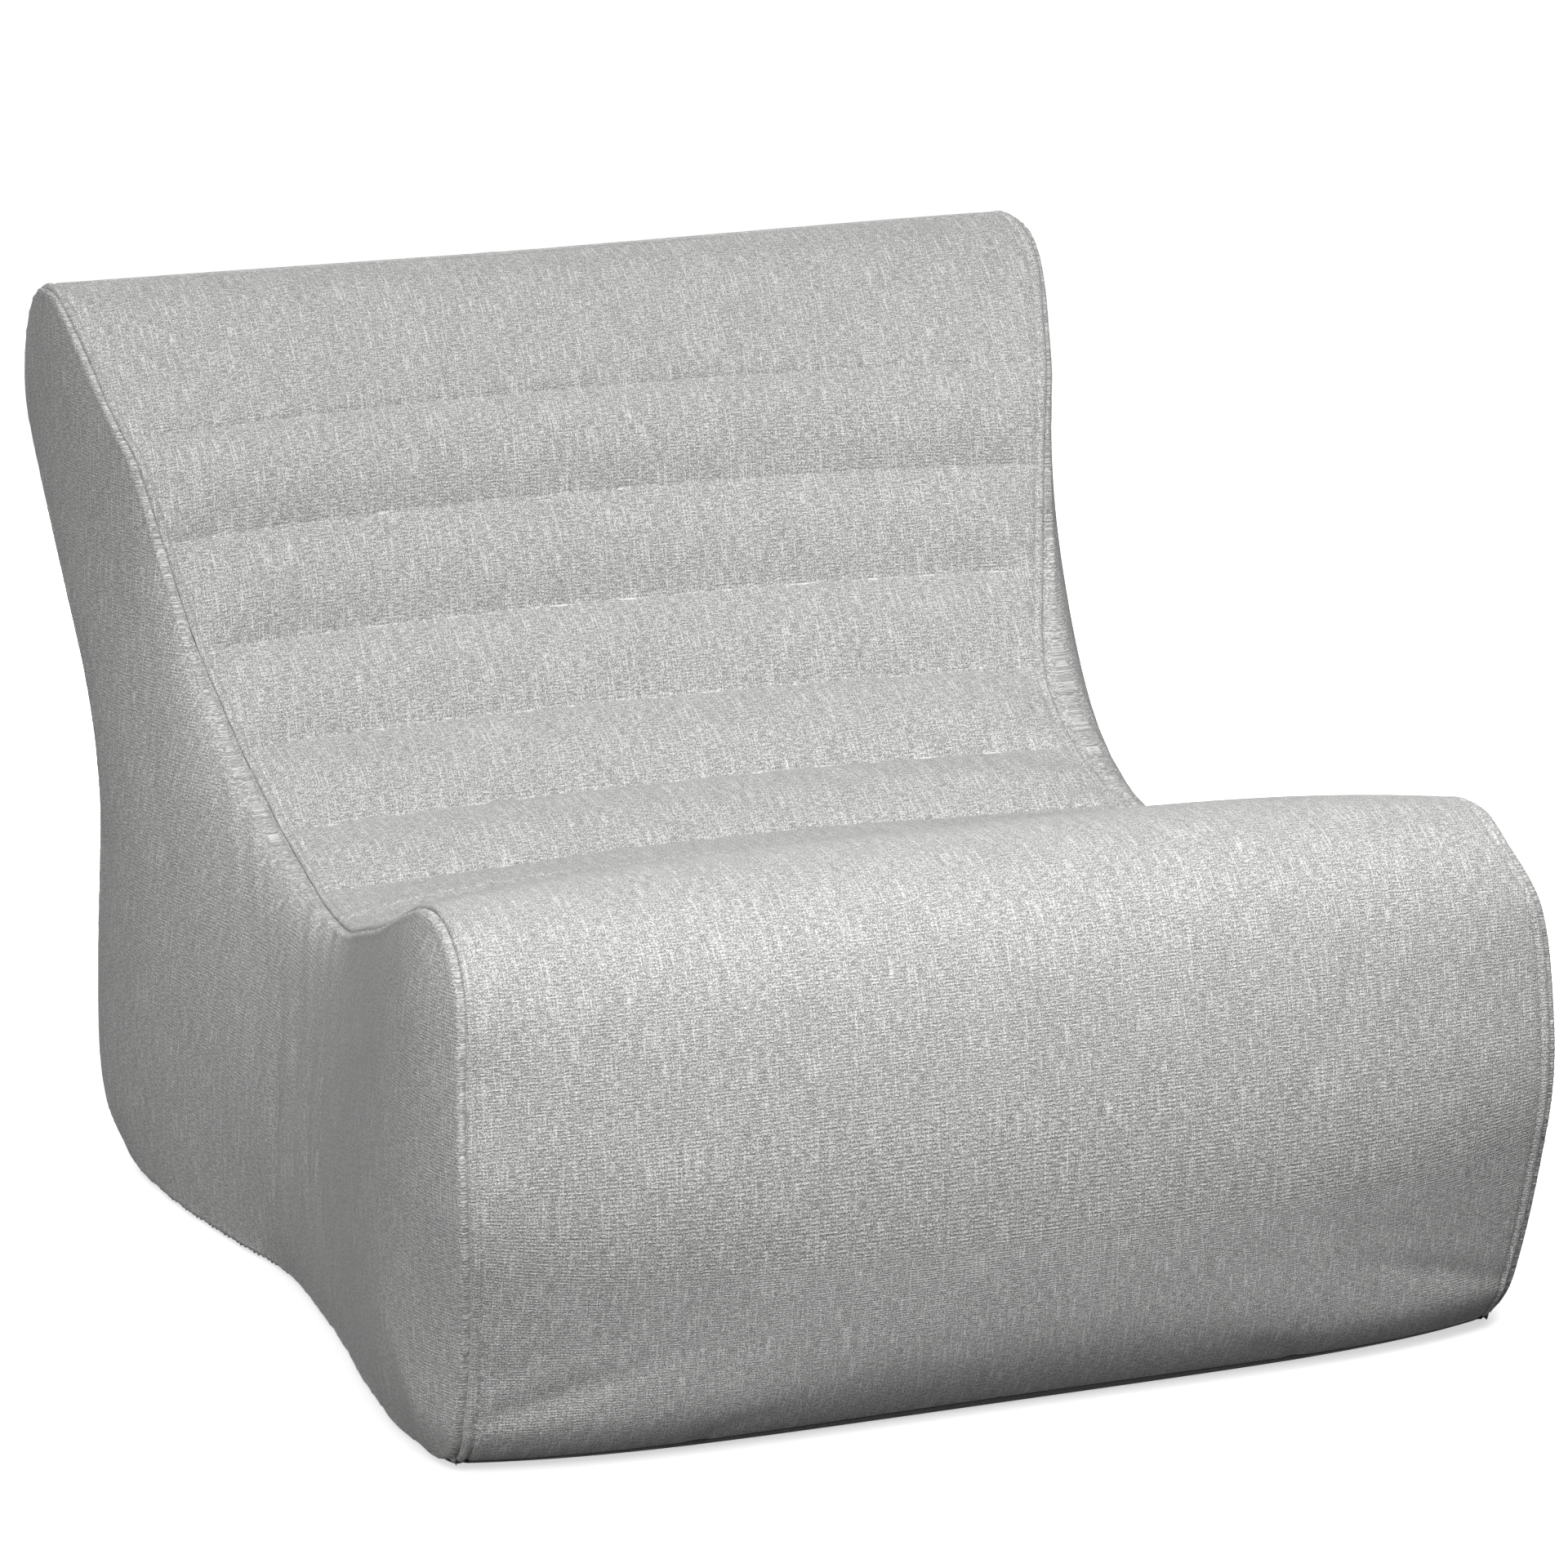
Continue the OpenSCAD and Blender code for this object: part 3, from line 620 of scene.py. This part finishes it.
def blank(name, **constants):
    """A new material, its node tree and its shader, with the constants set on the shader."""
    material = bpy.data.materials.new(name)
    material.use_nodes = True
    tree = material.node_tree
    shader = tree.nodes["Principled BSDF"]
    for socket, value in constants.items():
        shader.inputs[socket.replace("_", " ")].default_value = value
    return material, tree, shader


def feed(tree, shader, **sockets):
    for name, value in sockets.items():
        tree.links.new(value.socket, shader.inputs[name.replace("_", " ")])


def stretched(tree, where, scale, detail=2.0, roughness=0.5, offset=0.0):
    """Noise on cloth coordinates, with its own number of repeats per metre each way."""
    mapped = node(tree, "ShaderNodeMapping", {}, {"Vector": where, "Location": (offset, offset, 0),
                                                  "Scale": (*scale, 1)})
    return node(tree, "ShaderNodeTexNoise", {"noise_dimensions": "2D"},
                {"Vector": mapped, "Scale": 1.0, "Detail": detail, "Roughness": roughness})


# %% The cover's melange weave
def weave_material(name, dark, middle, light, contrast=1.0, turn=False, bump=0.5):
    """Woven melange cloth: fine ribs, speckle and slubs, in three shades."""
    material, tree, shader = blank(name, Roughness=0.92, Sheen_Weight=0.25, Sheen_Roughness=0.5,
                                   Specular_IOR_Level=0.25)
    uv = node(tree, "ShaderNodeTexCoord", {}, {}, output=2)
    if turn:
        uv = node(tree, "ShaderNodeMapping", {}, {"Vector": uv, "Rotation": (0, 0, math.pi / 2)})
    grain = stretched(tree, uv, (800, 860), 1, 0.5)
    strands = stretched(tree, uv, (520, 32), 2, 0.6, 3.1)
    picks = stretched(tree, uv, (130, 700), 1, 0.5, 7.7)
    cloudy = stretched(tree, uv, (26, 14), 3, 0.55, 1.3)
    split = node(tree, "ShaderNodeSeparateXYZ", {}, {"Vector": uv})
    across = node(tree, "ShaderNodeSeparateXYZ", {}, {"Vector": uv}, output=1)
    ribs = (across * (2 * math.pi / 0.0025) + grain * 5.0).sine()
    yarns = (split * (2 * math.pi / 0.0019) + grain * 5.0).sine()
    slubs = ((strands - 0.53) * 5.0).clamped()
    tone = ((grain - 0.5) * 2.0 + (picks - 0.5) * 1.0 + slubs * 0.36 + ribs * yarns * 0.06) * contrast \
        + (cloudy - 0.5) * 0.14 + 0.40
    ramp = node(tree, "ShaderNodeValToRGB",
                {"stops": [(0.05, dark), (0.46, middle), (0.95, light)]}, {"Fac": tone})
    height = ribs * 0.35 + yarns * 0.3 + grain * 2.2 + picks * 1.0 + slubs * 0.8
    bumped = node(tree, "ShaderNodeBump", {}, {"Strength": bump, "Distance": 0.0009, "Height": height})
    feed(tree, shader, Base_Color=ramp, Normal=bumped)
    return material


COVER = weave_material("cover melange", (0.30, 0.30, 0.294), (0.54, 0.54, 0.532), (0.92, 0.92, 0.912))
# A shaded copy of the cover melange for the side panels: lighter dark yarns and dimmer pale yarns paint the
# flatter look the same cloth has in shade.
SHADED_SIDE_COVER = weave_material("cover melange, flattened copy for the shaded sides", (0.33, 0.33, 0.324), (0.53, 0.53, 0.522),
                            (0.88, 0.88, 0.872), contrast=0.95, bump=0.5)
BASE_CLOTH = weave_material("dark base cloth", (0.015, 0.015, 0.016), (0.035, 0.035, 0.037),
                            (0.07, 0.07, 0.072), contrast=0.5)
LINING = weave_material("white lining", (0.62, 0.62, 0.60), (0.76, 0.76, 0.74), (0.86, 0.86, 0.84), 0.4)
TAPE = weave_material("zip tape", (0.16, 0.16, 0.16), (0.24, 0.24, 0.24), (0.32, 0.32, 0.32), 0.5)
print("five cloths made")


# %% Wadding, beads, thread, plastic and metal
def speckled_material(name, low, high, scale, kind="noise", bump=0.3, distance=0.001, **constants):
    """A material whose shade and relief follow one pattern on the object's own coordinates."""
    material, tree, shader = blank(name, **constants)
    where = node(tree, "ShaderNodeTexCoord", {}, {}, output=3)
    if kind == "noise":
        pattern = node(tree, "ShaderNodeTexNoise", {}, {"Vector": where, "Scale": scale, "Detail": 4.0})
    else:
        pattern = node(tree, "ShaderNodeTexVoronoi", {}, {"Vector": where, "Scale": scale})
    shade = node(tree, "ShaderNodeValToRGB", {"stops": [(0.25, low), (0.75, high)]}, {"Fac": pattern})
    bumped = node(tree, "ShaderNodeBump", {}, {"Strength": bump, "Distance": distance,
                                               "Height": 1 - pattern})
    feed(tree, shader, Base_Color=shade, Normal=bumped)
    return material


WADDING = speckled_material("fibre wadding", (0.78, 0.78, 0.76), (0.93, 0.93, 0.92), 160, Roughness=1.0)
# The beads are painted darker towards the gaps between them: painted shade between the beads, which are
# white themselves.
BEADS = speckled_material("foam beads", (0.95, 0.95, 0.94), (0.70, 0.70, 0.69), 260, "cells", 0.9,
                          0.002, Roughness=0.7)
THREAD = speckled_material("sewing thread", (0.40, 0.40, 0.395), (0.60, 0.60, 0.59), 1500,
                           bump=0.4, distance=0.0002, Roughness=0.7)
COIL = speckled_material("zip coil", (0.10, 0.10, 0.10), (0.17, 0.17, 0.17), 900, bump=0.1,
                         distance=0.0001, Roughness=0.38)
METAL = speckled_material("satin nickel", (0.50, 0.50, 0.51), (0.62, 0.62, 0.63), 700, bump=0.12,
                          distance=0.0001, Roughness=0.33, Metallic=1.0)
print("five finishes made")

# %% [markdown]
# ## The cover's panels
# A sewn cover is several pieces of cloth, and each stays its own object, so that each can be given
# another cloth later. The wrap is cut across into the front panel, the quilted panel, the rear panel,
# the hem under the zip, and the base. Neighbours share the points along their seam.

# %% Making an object from points and faces
def made(name, points, faces, material, uv=None, replaces=()):
    """A smooth mesh object that rides on the chair. uv holds one pair for each point."""
    mesh = bpy.data.meshes.new(name)
    mesh.from_pydata(np.asarray(points, float).tolist(), [], [list(map(int, f)) for f in faces])
    if uv is not None:
        layer = mesh.uv_layers.new(name="cloth")
        corner = np.zeros(len(mesh.loops), np.int64)
        mesh.loops.foreach_get("vertex_index", corner)
        layer.data.foreach_set("uv", np.asarray(uv, np.float32)[corner].ravel())
    mesh.materials.append(material)
    mesh.update()
    mesh.polygons.foreach_set("use_smooth", [True] * len(mesh.polygons))
    obj = bpy.data.objects.new(name, mesh)
    bpy.context.scene.collection.objects.link(obj)
    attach(obj, "chair")
    if replaces:
        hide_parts(*replaces)
    return obj


def quads(n, m, turn=1, skip=None):
    """Faces of a grid of n by m points."""
    i, j = np.meshgrid(np.arange(n - 1), np.arange(m - 1), indexing="ij")
    a = i * m + j
    f = np.stack([a, a + 1, a + m + 1, a + m], -1)[..., ::turn]
    return f[~skip] if skip is not None else f.reshape(-1, 4)


# %% Cutting the wrap into its panels
def row_at(s):
    return int(np.argmin(np.abs(FINE_ROWS - np.mod(s, LOOP))))


def wrap_panel(name, s0, s1, material, replaces):
    """The part of the wrap from s0 to s1 round the outline, with the zip's slit left open."""
    first, last = row_at(s0), row_at(s1)
    if last <= first:
        last += len(FINE_ROWS)
    rows = np.mod(np.arange(first, last + 1), len(FINE_ROWS))
    p, uv = wrap_fine[rows], wrap_uv[rows].copy()
    uv[rows < first, :, 1] += LOOP
    s = FINE_ROWS[rows]
    x_mid = (p[:-1, :-1, 0] + p[1:, 1:, 0]) / 2
    s_mid = ((s[:-1] + s[1:]) / 2)[:, None]
    slit = (np.abs(x_mid) < 0.3535) & (np.abs(s_mid - S_ZIP) < SLIT)
    faces = quads(*p.shape[:2], skip=slit)
    return made(name, p.reshape(-1, 3), faces, material, uv=uv.reshape(-1, 2), replaces=replaces)


WRAP_PARTS = {  # key: CAD panel, where it starts and ends round the outline, cloth, material slot
    "front": ("front_panel", S_BASE_FRONT, S_SEAT_SEAM, COVER, "cover_fabric"),
    "quilted": ("quilted_panel", S_SEAT_SEAM, S_TOP_SEAM, COVER, "cover_fabric"),
    "rear": ("rear_panel", S_TOP_SEAM, S_ZIP, COVER, "cover_fabric"),
    "hem": ("rear_hem", S_ZIP, S_BASE_REAR, COVER, "cover_fabric"),
    "base": ("base_panel", S_BASE_REAR, S_BASE_FRONT, BASE_CLOTH, "base_fabric"),
}
cover = {key: wrap_panel(f"{panel}_cloth", s0, s1, cloth, [panel])
         for key, (panel, s0, s1, cloth, slot) in WRAP_PARTS.items()}
for side, word in ((-1, "left"), (1, "right")):
    p, uv = side_fine[side]
    cover[word] = made(f"side_panel_{word}_cloth", p.reshape(-1, 3), quads(*p.shape[:2], turn=side),
                       SHADED_SIDE_COVER, uv=uv.reshape(-1, 2), replaces=[f"side_panel_{word}"])
print({k: len(o.data.polygons) for k, o in cover.items()})

# %% [markdown]
# ## Stitches
# Sewn thread dives into the cloth at the end of each stitch. So each stitch is a short thread with
# tapered ends, laid on the pressed groove. One long tube would be simpler, but it reads as piping.

# %% Short threads laid along a path
STITCH, STITCH_GAP, THREAD_R = 0.0042, 0.0022, 0.0005


def stitches(name, path, out, replaces=(), lift=0.0002):
    """Stitches along a path of points, whose outward directions are given."""
    d = along(path)
    count = int(d[-1] / (STITCH + STITCH_GAP))
    centre_d = (np.arange(count) + 0.5) * (d[-1] / count)

    def at(q):
        return np.stack([np.interp(q, d, path[:, k]) for k in range(3)], -1)

    centre = at(centre_d)
    ahead = at(centre_d + 0.001) - at(centre_d - 0.001)
    ahead /= np.linalg.norm(ahead, axis=1, keepdims=True)
    up = np.stack([np.interp(centre_d, d, out[:, k]) for k in range(3)], -1)
    beside = np.cross(ahead, up)
    beside /= np.linalg.norm(beside, axis=1, keepdims=True)
    up = np.cross(beside, ahead)
    rings = np.array([-1, -0.7, 0, 0.7, 1])
    ring_r = THREAD_R * np.array([0.25, 0.85, 1, 0.85, 0.25])
    sides = 6
    angle = np.arange(sides) * 2 * math.pi / sides
    points = []
    for k, x in enumerate(rings):
        sink = lift - 0.0006 * x * x
        for a in angle:
            points.append(centre + ahead * (x * STITCH / 2) + beside * (ring_r[k] * math.cos(a))
                          + up * (ring_r[k] * math.sin(a) + sink))
    points = np.stack(points, 1)
    one = []
    for k in range(len(rings) - 1):
        for a in range(sides):
            b = (a + 1) % sides
            one.append([k * sides + a, k * sides + b, (k + 1) * sides + b, (k + 1) * sides + a])
    n = len(rings) * sides
    faces = (np.array(one)[None] + (np.arange(count) * n)[:, None, None]).reshape(-1, 4).tolist()
    for c in range(count):
        faces.append([c * n + a for a in range(sides)][::-1])
        faces.append([c * n + n - sides + a for a in range(sides)])
    return made(name, points.reshape(-1, 3), faces, THREAD, replaces=replaces)


def wrap_path(s_list, t_list):
    """Points and normals on the finished wrap at matching lists of s and t."""
    normals = grid_normals(wrap_fine, True)
    points, outs = [], []
    for s, t in zip(s_list, t_list):
        i = row_at(s)
        points.append([np.interp(t, FINE_COLUMNS, wrap_fine[i, :, k]) for k in range(3)])
        outs.append([np.interp(t, FINE_COLUMNS, normals[i, :, k]) for k in range(3)])
    return np.array(points), np.array(outs)


# %% Topstitching beside the side seams, and the quilting
edge_rows = FINE_ROWS[row_at(S_BASE_FRONT):row_at(S_BASE_REAR)][::2]
for side, word in ((-1, "left"), (1, "right")):
    t = side * (1 - TOPSTITCH_IN / half_width(edge_rows))
    path, out = wrap_path(edge_rows, t)
    stitches(f"topstitching_{word}", path, out, [f"side_topstitch_{word}"])
for k, line in enumerate(LINES + [FAINT_LINE]):
    t = np.linspace(-0.965, 0.965, 160)
    path, out = wrap_path(np.full(160, line), t)
    stitches(f"quilting_{k + 1}", path, out, ["quilting_thread"] if k == 0 else ())
for z_line, word in ((S_ZIP - 0.0115, "upper"), (S_ZIP + 0.0115, "lower")):
    path, out = wrap_path(np.full(120, z_line), np.linspace(-0.370, 0.370, 120) / 0.4515)
    stitches(f"cover_zip_stitching_{word}", path, out)
print("stitches laid")

# %% [markdown]
# ## What is inside the cover
# Nobody sees the inside of a bean bag until its zip is opened, but the shape comes from it. Under the
# quilting lie wadding and a backing cloth. Below that, two bags of lining cloth hold the beads, with a
# cloth wall between them that ties the crook down to the base. Each is made from the settled cover
# itself, moved inwards, so that nothing shows through where the cover is drawn in.

# %% The wadding and its backing, pressed thin at each quilting line
def slab(name, outer, inner, material, replaces, uv=None):
    """A closed slab between two grids of points of the same size."""
    n, m = outer.shape[:2]
    k = n * m
    faces = quads(n, m).tolist() + (quads(n, m, -1) + k).tolist()
    rim = [i * m for i in range(n)] + [(n - 1) * m + j for j in range(1, m)]
    rim += [i * m + m - 1 for i in range(n - 2, -1, -1)] + [j for j in range(m - 2, 0, -1)]
    faces += [[a, b, b + k, a + k][::-1] for a, b in zip(rim, rim[1:] + rim[:1])]
    points = np.concatenate([outer.reshape(-1, 3), inner.reshape(-1, 3)])
    both = None if uv is None else np.concatenate([uv.reshape(-1, 2)] * 2)
    return made(name, points, faces, material, uv=both, replaces=replaces)


def under_cover(first, last, depths):
    """Grids of the wrap between two rows, narrowed a little and moved in by each of the depths."""
    rows = np.where((ROWS >= first) & (ROWS <= last))[0]
    p = wrap_cloth[rows][:, 1:-1]
    n = grid_normals(wrap_cloth, True)[rows][:, 1:-1]
    s = np.broadcast_to(ROWS[rows][:, None], p.shape[:2])
    pressed = 1 - 0.75 * np.exp(-np.abs(np.subtract.outer(ROWS[rows], LINES)).min(1) / 0.012)
    uv = np.stack([p[..., 0], s], -1)
    return [p - n * (0.0045 + d * pressed)[:, None, None] for d in depths], uv


(pad_outer, pad_inner, cloth_inner), pad_uv = under_cover(S_NOSE - 0.02, S_TOP_SEAM, (0, 0.013, 0.0145))
wadding = slab("quilt_wadding_pad", pad_outer, pad_inner, WADDING, ["quilt_wadding"])
backing = slab("quilt_backing_cloth", pad_inner, cloth_inner, LINING, ["quilt_backing"], pad_uv)


# %% The cover's inside, as a closed surface at any depth
def inner_mesh(depth, quilt_depth):
    """The settled cover moved inwards, by more under the quilting, as a bmesh."""
    bm = bmesh.new()
    verts = [bm.verts.new(p) for p in settled]
    for f in cover_faces:
        if len({int(i) for i in f}) == 4:
            bm.faces.new([verts[i] for i in f])
    bm.normal_update()
    depths = np.full(len(settled), depth)
    under = np.where((ROWS > S_NOSE - 0.05) & (ROWS < S_TOP_SEAM + 0.02))[0]
    for i in under:
        fade = min(1, (ROWS[i] - S_NOSE + 0.05) / 0.05, (S_TOP_SEAM + 0.02 - ROWS[i]) / 0.02)
        depths[wrap_index[i]] = depth + (quilt_depth - depth) * max(fade, 0)
    smooth_p = np.array(settled)
    normals = np.array([v.normal for v in verts])
    for v, p, n, d in zip(verts, smooth_p, normals, depths):
        v.co = Vector(p - n * d)
    for _ in range(6):
        bmesh.ops.smooth_vert(bm, verts=bm.verts, factor=0.5,
                              use_axis_x=True, use_axis_y=True, use_axis_z=True)
    return bm


def cut_bag(bm, y, keep_front):
    """Keeps what lies on one side of an upright plane, and closes the cut."""
    geometry = bm.verts[:] + bm.edges[:] + bm.faces[:]
    cut = bmesh.ops.bisect_plane(bm, geom=geometry, plane_co=(0, y, 0), plane_no=(0, 1, 0),
                                 clear_outer=keep_front, clear_inner=not keep_front)
    edges = [e for e in cut["geom_cut"] if isinstance(e, bmesh.types.BMEdge)]
    bmesh.ops.triangle_fill(bm, edges=edges, use_beauty=True)
    return bm


def from_bmesh(name, bm, material, replaces):
    mesh = bpy.data.meshes.new(name)
    bmesh.ops.recalc_face_normals(bm, faces=bm.faces)
    bm.to_mesh(mesh)
    bm.free()
    points = np.array([v.co for v in mesh.vertices])
    layer = mesh.uv_layers.new(name="cloth")
    corner = np.zeros(len(mesh.loops), np.int64)
    mesh.loops.foreach_get("vertex_index", corner)
    layer.data.foreach_set("uv", (points[:, [1, 2]] + points[:, [0, 0]])[corner].astype(np.float32).ravel())
    mesh.materials.append(material)
    mesh.polygons.foreach_set("use_smooth", [True] * len(mesh.polygons))
    obj = bpy.data.objects.new(name, mesh)
    bpy.context.scene.collection.objects.link(obj)
    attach(obj, "chair")
    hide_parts(*replaces)
    return obj


# %% The two bags, the beads in them, and the wall between
WALL = (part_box("crook_web")[0].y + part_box("crook_web")[1].y) / 2
SEAT_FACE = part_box("seat_liner")[1].y
BACK_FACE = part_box("back_liner")[0].y
for word, face, is_front in (("seat", SEAT_FACE, True), ("back", BACK_FACE, False)):
    toward = 1 if is_front else -1
    bag = from_bmesh(f"{word}_bag", cut_bag(inner_mesh(0.0075, 0.0225), face, is_front), LINING,
                     [f"{word}_liner"])
    fill = cut_bag(inner_mesh(0.0105, 0.0255), face - toward * 0.0047, is_front)
    wobble = np.random.RandomState(5 if is_front else 6).uniform(-0.0007, 0.0007, (len(fill.verts), 3))
    for v, w in zip(fill.verts, wobble):
        v.co.x += w[0]
        v.co.z += w[2] if v.co.z > 0.02 else 0
    beads = from_bmesh(f"{word}_bead_fill", fill, BEADS, [f"{word}_beads"])
    print(word, "bag", [round(v, 3) for v in bag.dimensions])
wall = cut_bag(inner_mesh(0.0050, 0.0205), WALL, True)
for f in [f for f in wall.faces if any(abs(v.co.y - WALL) > 1e-5 for v in f.verts)]:
    wall.faces.remove(f)
for v in [v for v in wall.verts if not v.link_faces]:
    wall.verts.remove(v)
wall_area = sum(f.calc_area() for f in wall.faces)
thick = bmesh.ops.extrude_face_region(wall, geom=wall.faces[:])
for v in [g for g in thick["geom"] if isinstance(g, bmesh.types.BMVert)]:
    v.co.y += 0.0015
for v in wall.verts:
    v.co.y -= 0.00075
wall_cloth = from_bmesh("crook_wall_cloth", wall, LINING, ["crook_web"])

# %% [markdown]
# ## The zips
# The cover opens along the foot of its back, and each bag has a shorter zip of its own. The CAD part
# has the sliders, stops and tapes at their working sizes, so those stay and get real finishes. A coil is
# what makes a zip look like one: it is a row of nylon loops, so each loop is made here.

# %% Coil loops
LOOP_PITCH = 0.0015


def coil(name, cad_node):
    """A row of loops in the space of a CAD coil."""
    lo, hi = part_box(cad_node)
    count = int((hi.x - lo.x) / LOOP_PITCH)
    centre = (lo + hi) / 2
    ring, tube = 12, 5
    i, j = np.meshgrid(np.arange(ring), np.arange(tube), indexing="ij")
    a, b = i * 2 * math.pi / ring, j * 2 * math.pi / tube
    r = 0.00038
    loop_y = ((hi.y - lo.y) / 2 - r) * np.cos(a) + r * np.cos(b) * np.cos(a)
    loop_z = ((hi.z - lo.z) / 2 - r) * np.sin(a) + r * np.cos(b) * np.sin(a)
    loop_x = r * np.sin(b) + 0.0003 * np.sin(a)
    one = np.stack([loop_x, loop_y, loop_z], -1).reshape(-1, 3)
    i2, j2 = (i + 1) % ring, (j + 1) % tube
    f = np.stack([i * tube + j, i * tube + j2, i2 * tube + j2, i2 * tube + j], -1).reshape(-1, 4)
    starts = lo.x + (np.arange(count) + 0.5) * (hi.x - lo.x) / count
    points = one[None] + np.stack([starts, np.full(count, centre.y), np.full(count, centre.z)], -1)[:, None]
    faces = (f[None] + (np.arange(count) * ring * tube)[:, None, None]).reshape(-1, 4)
    return made(name, points.reshape(-1, 3), faces, COIL, replaces=[cad_node])


for zip_name in ("cover_zip", "seat_zip", "back_zip"):
    for row in ("upper", "lower"):
        coil(f"{zip_name}_loops_{row}", f"{zip_name}_coil_{row}")
        nodes[f"{zip_name}_tape_{row}"].data.materials.clear()
        nodes[f"{zip_name}_tape_{row}"].data.materials.append(TAPE)
for name in ("cover_zip_stops", "cover_zip_slider", "cover_zip_pull", "seat_zip_stops", "seat_zip_slider",
             "back_zip_stops", "back_zip_slider"):
    nodes[name].data.materials.clear()
    nodes[name].data.materials.append(METAL)
    softened = nodes[name].modifiers.new("softened edges", "BEVEL")
    softened.width, softened.segments, softened.limit_method = 0.00025, 2, "ANGLE"
print("zips finished")

# %% [markdown]
# ## The camera, the floor and the light
# A long lens far away keeps the chair's edges nearly parallel. Two soft boxes stand close to the front,
# so the light falls off towards the head, and the left side and the foot stay in half shade, which
# shows the seams and the quilting. The floor glows a little, as a backlit sweep does in a studio.

# %% Camera
camera = bpy.data.objects.new("camera", bpy.data.cameras.new("camera"))
bpy.context.scene.collection.objects.link(camera)
camera.data.lens, camera.data.sensor_width = 168.73, 36
AZIMUTH, ELEVATION, DISTANCE = math.radians(-22.2687), math.radians(15.2042), 6.0745
back = Vector((math.sin(AZIMUTH) * math.cos(ELEVATION), -math.cos(AZIMUTH) * math.cos(ELEVATION),
               math.sin(ELEVATION)))
camera.location = Vector((0, -0.0798, 0.3921)) + back * DISTANCE
camera.rotation_mode = "QUATERNION"
camera.rotation_quaternion = (-back).to_track_quat("-Z", "Y")
camera.data.clip_end = 100
bpy.context.scene.camera = camera
print("camera at", [round(v, 2) for v in camera.location])


# %% Floor and lamps
def soft_sun(name, azimuth, elevation, power, spread=60):
    """Even light from one direction, as wide as a large soft box close by."""
    data = bpy.data.lights.new(name, "SUN")
    data.energy, data.angle = power, math.radians(spread)
    obj = bpy.data.objects.new(name, data)
    bpy.context.scene.collection.objects.link(obj)
    a, e = math.radians(azimuth), math.radians(elevation)
    toward = Vector((math.sin(a) * math.cos(e), -math.cos(a) * math.cos(e), math.sin(e)))
    obj.rotation_mode = "QUATERNION"
    obj.rotation_quaternion = toward.to_track_quat("Z", "Y")
    return obj


def soft_box(name, place, aim, size, power):
    """A square soft box at a place, turned towards a point."""
    data = bpy.data.lights.new(name, "AREA")
    data.shape, data.size, data.energy = "SQUARE", size, power
    obj = bpy.data.objects.new(name, data)
    bpy.context.scene.collection.objects.link(obj)
    obj.location = place
    obj.rotation_mode = "QUATERNION"
    obj.rotation_quaternion = (Vector(place) - Vector(aim)).to_track_quat("Z", "Y")
    return obj


soft_box("left soft box", (-0.7, -2.0, 1.5), (0.0, 0.0, 0.3), 0.8, 15)
soft_box("right soft box", (0.5, -1.5, 2.1), (0.1, 0.0, 0.3), 0.8, 21)
rear_box = soft_box("rear soft box", (0.4, 2.6, 0.9), (0.0, 0.3, 0.35), 1.4, 42)
rear_box.visible_camera = False
soft_sun("low left light", -56, 30, 1.15)
soft_sun("ceiling light", 0, 80, 0.9)
floor_mesh = bpy.data.meshes.new("floor")
floor_mesh.from_pydata([(-30, -30, 0), (30, -30, 0), (30, 30, 0), (-30, 30, 0)], [], [(0, 1, 2, 3)])
floor = bpy.data.objects.new("floor", floor_mesh)
bpy.context.scene.collection.objects.link(floor)
floor_material, _, floor_shader = blank("pale floor", Roughness=0.9, Specular_IOR_Level=0.0)
floor_shader.inputs["Base Color"].default_value = (0.86, 0.86, 0.86, 1)
floor_shader.inputs["Emission Color"].default_value = (1, 1, 1, 1)
floor_shader.inputs["Emission Strength"].default_value = 0.6
floor_mesh.materials.append(floor_material)
floor.visible_diffuse = False
world = bpy.data.worlds.new("room")
bpy.context.scene.world = world
world.use_nodes = True
world.node_tree.nodes["Background"].inputs["Color"].default_value = (1, 1, 1, 1)
ROOM_GLOW = 0.03
seen_directly = node(world.node_tree, "ShaderNodeLightPath", {}, {})
strength = seen_directly * (1 - ROOM_GLOW) + ROOM_GLOW
world.node_tree.links.new(strength.socket, world.node_tree.nodes["Background"].inputs["Strength"])
bpy.context.scene.view_settings.view_transform = "Standard"

# %% Updating the scene, and the end
bpy.context.view_layer.update()
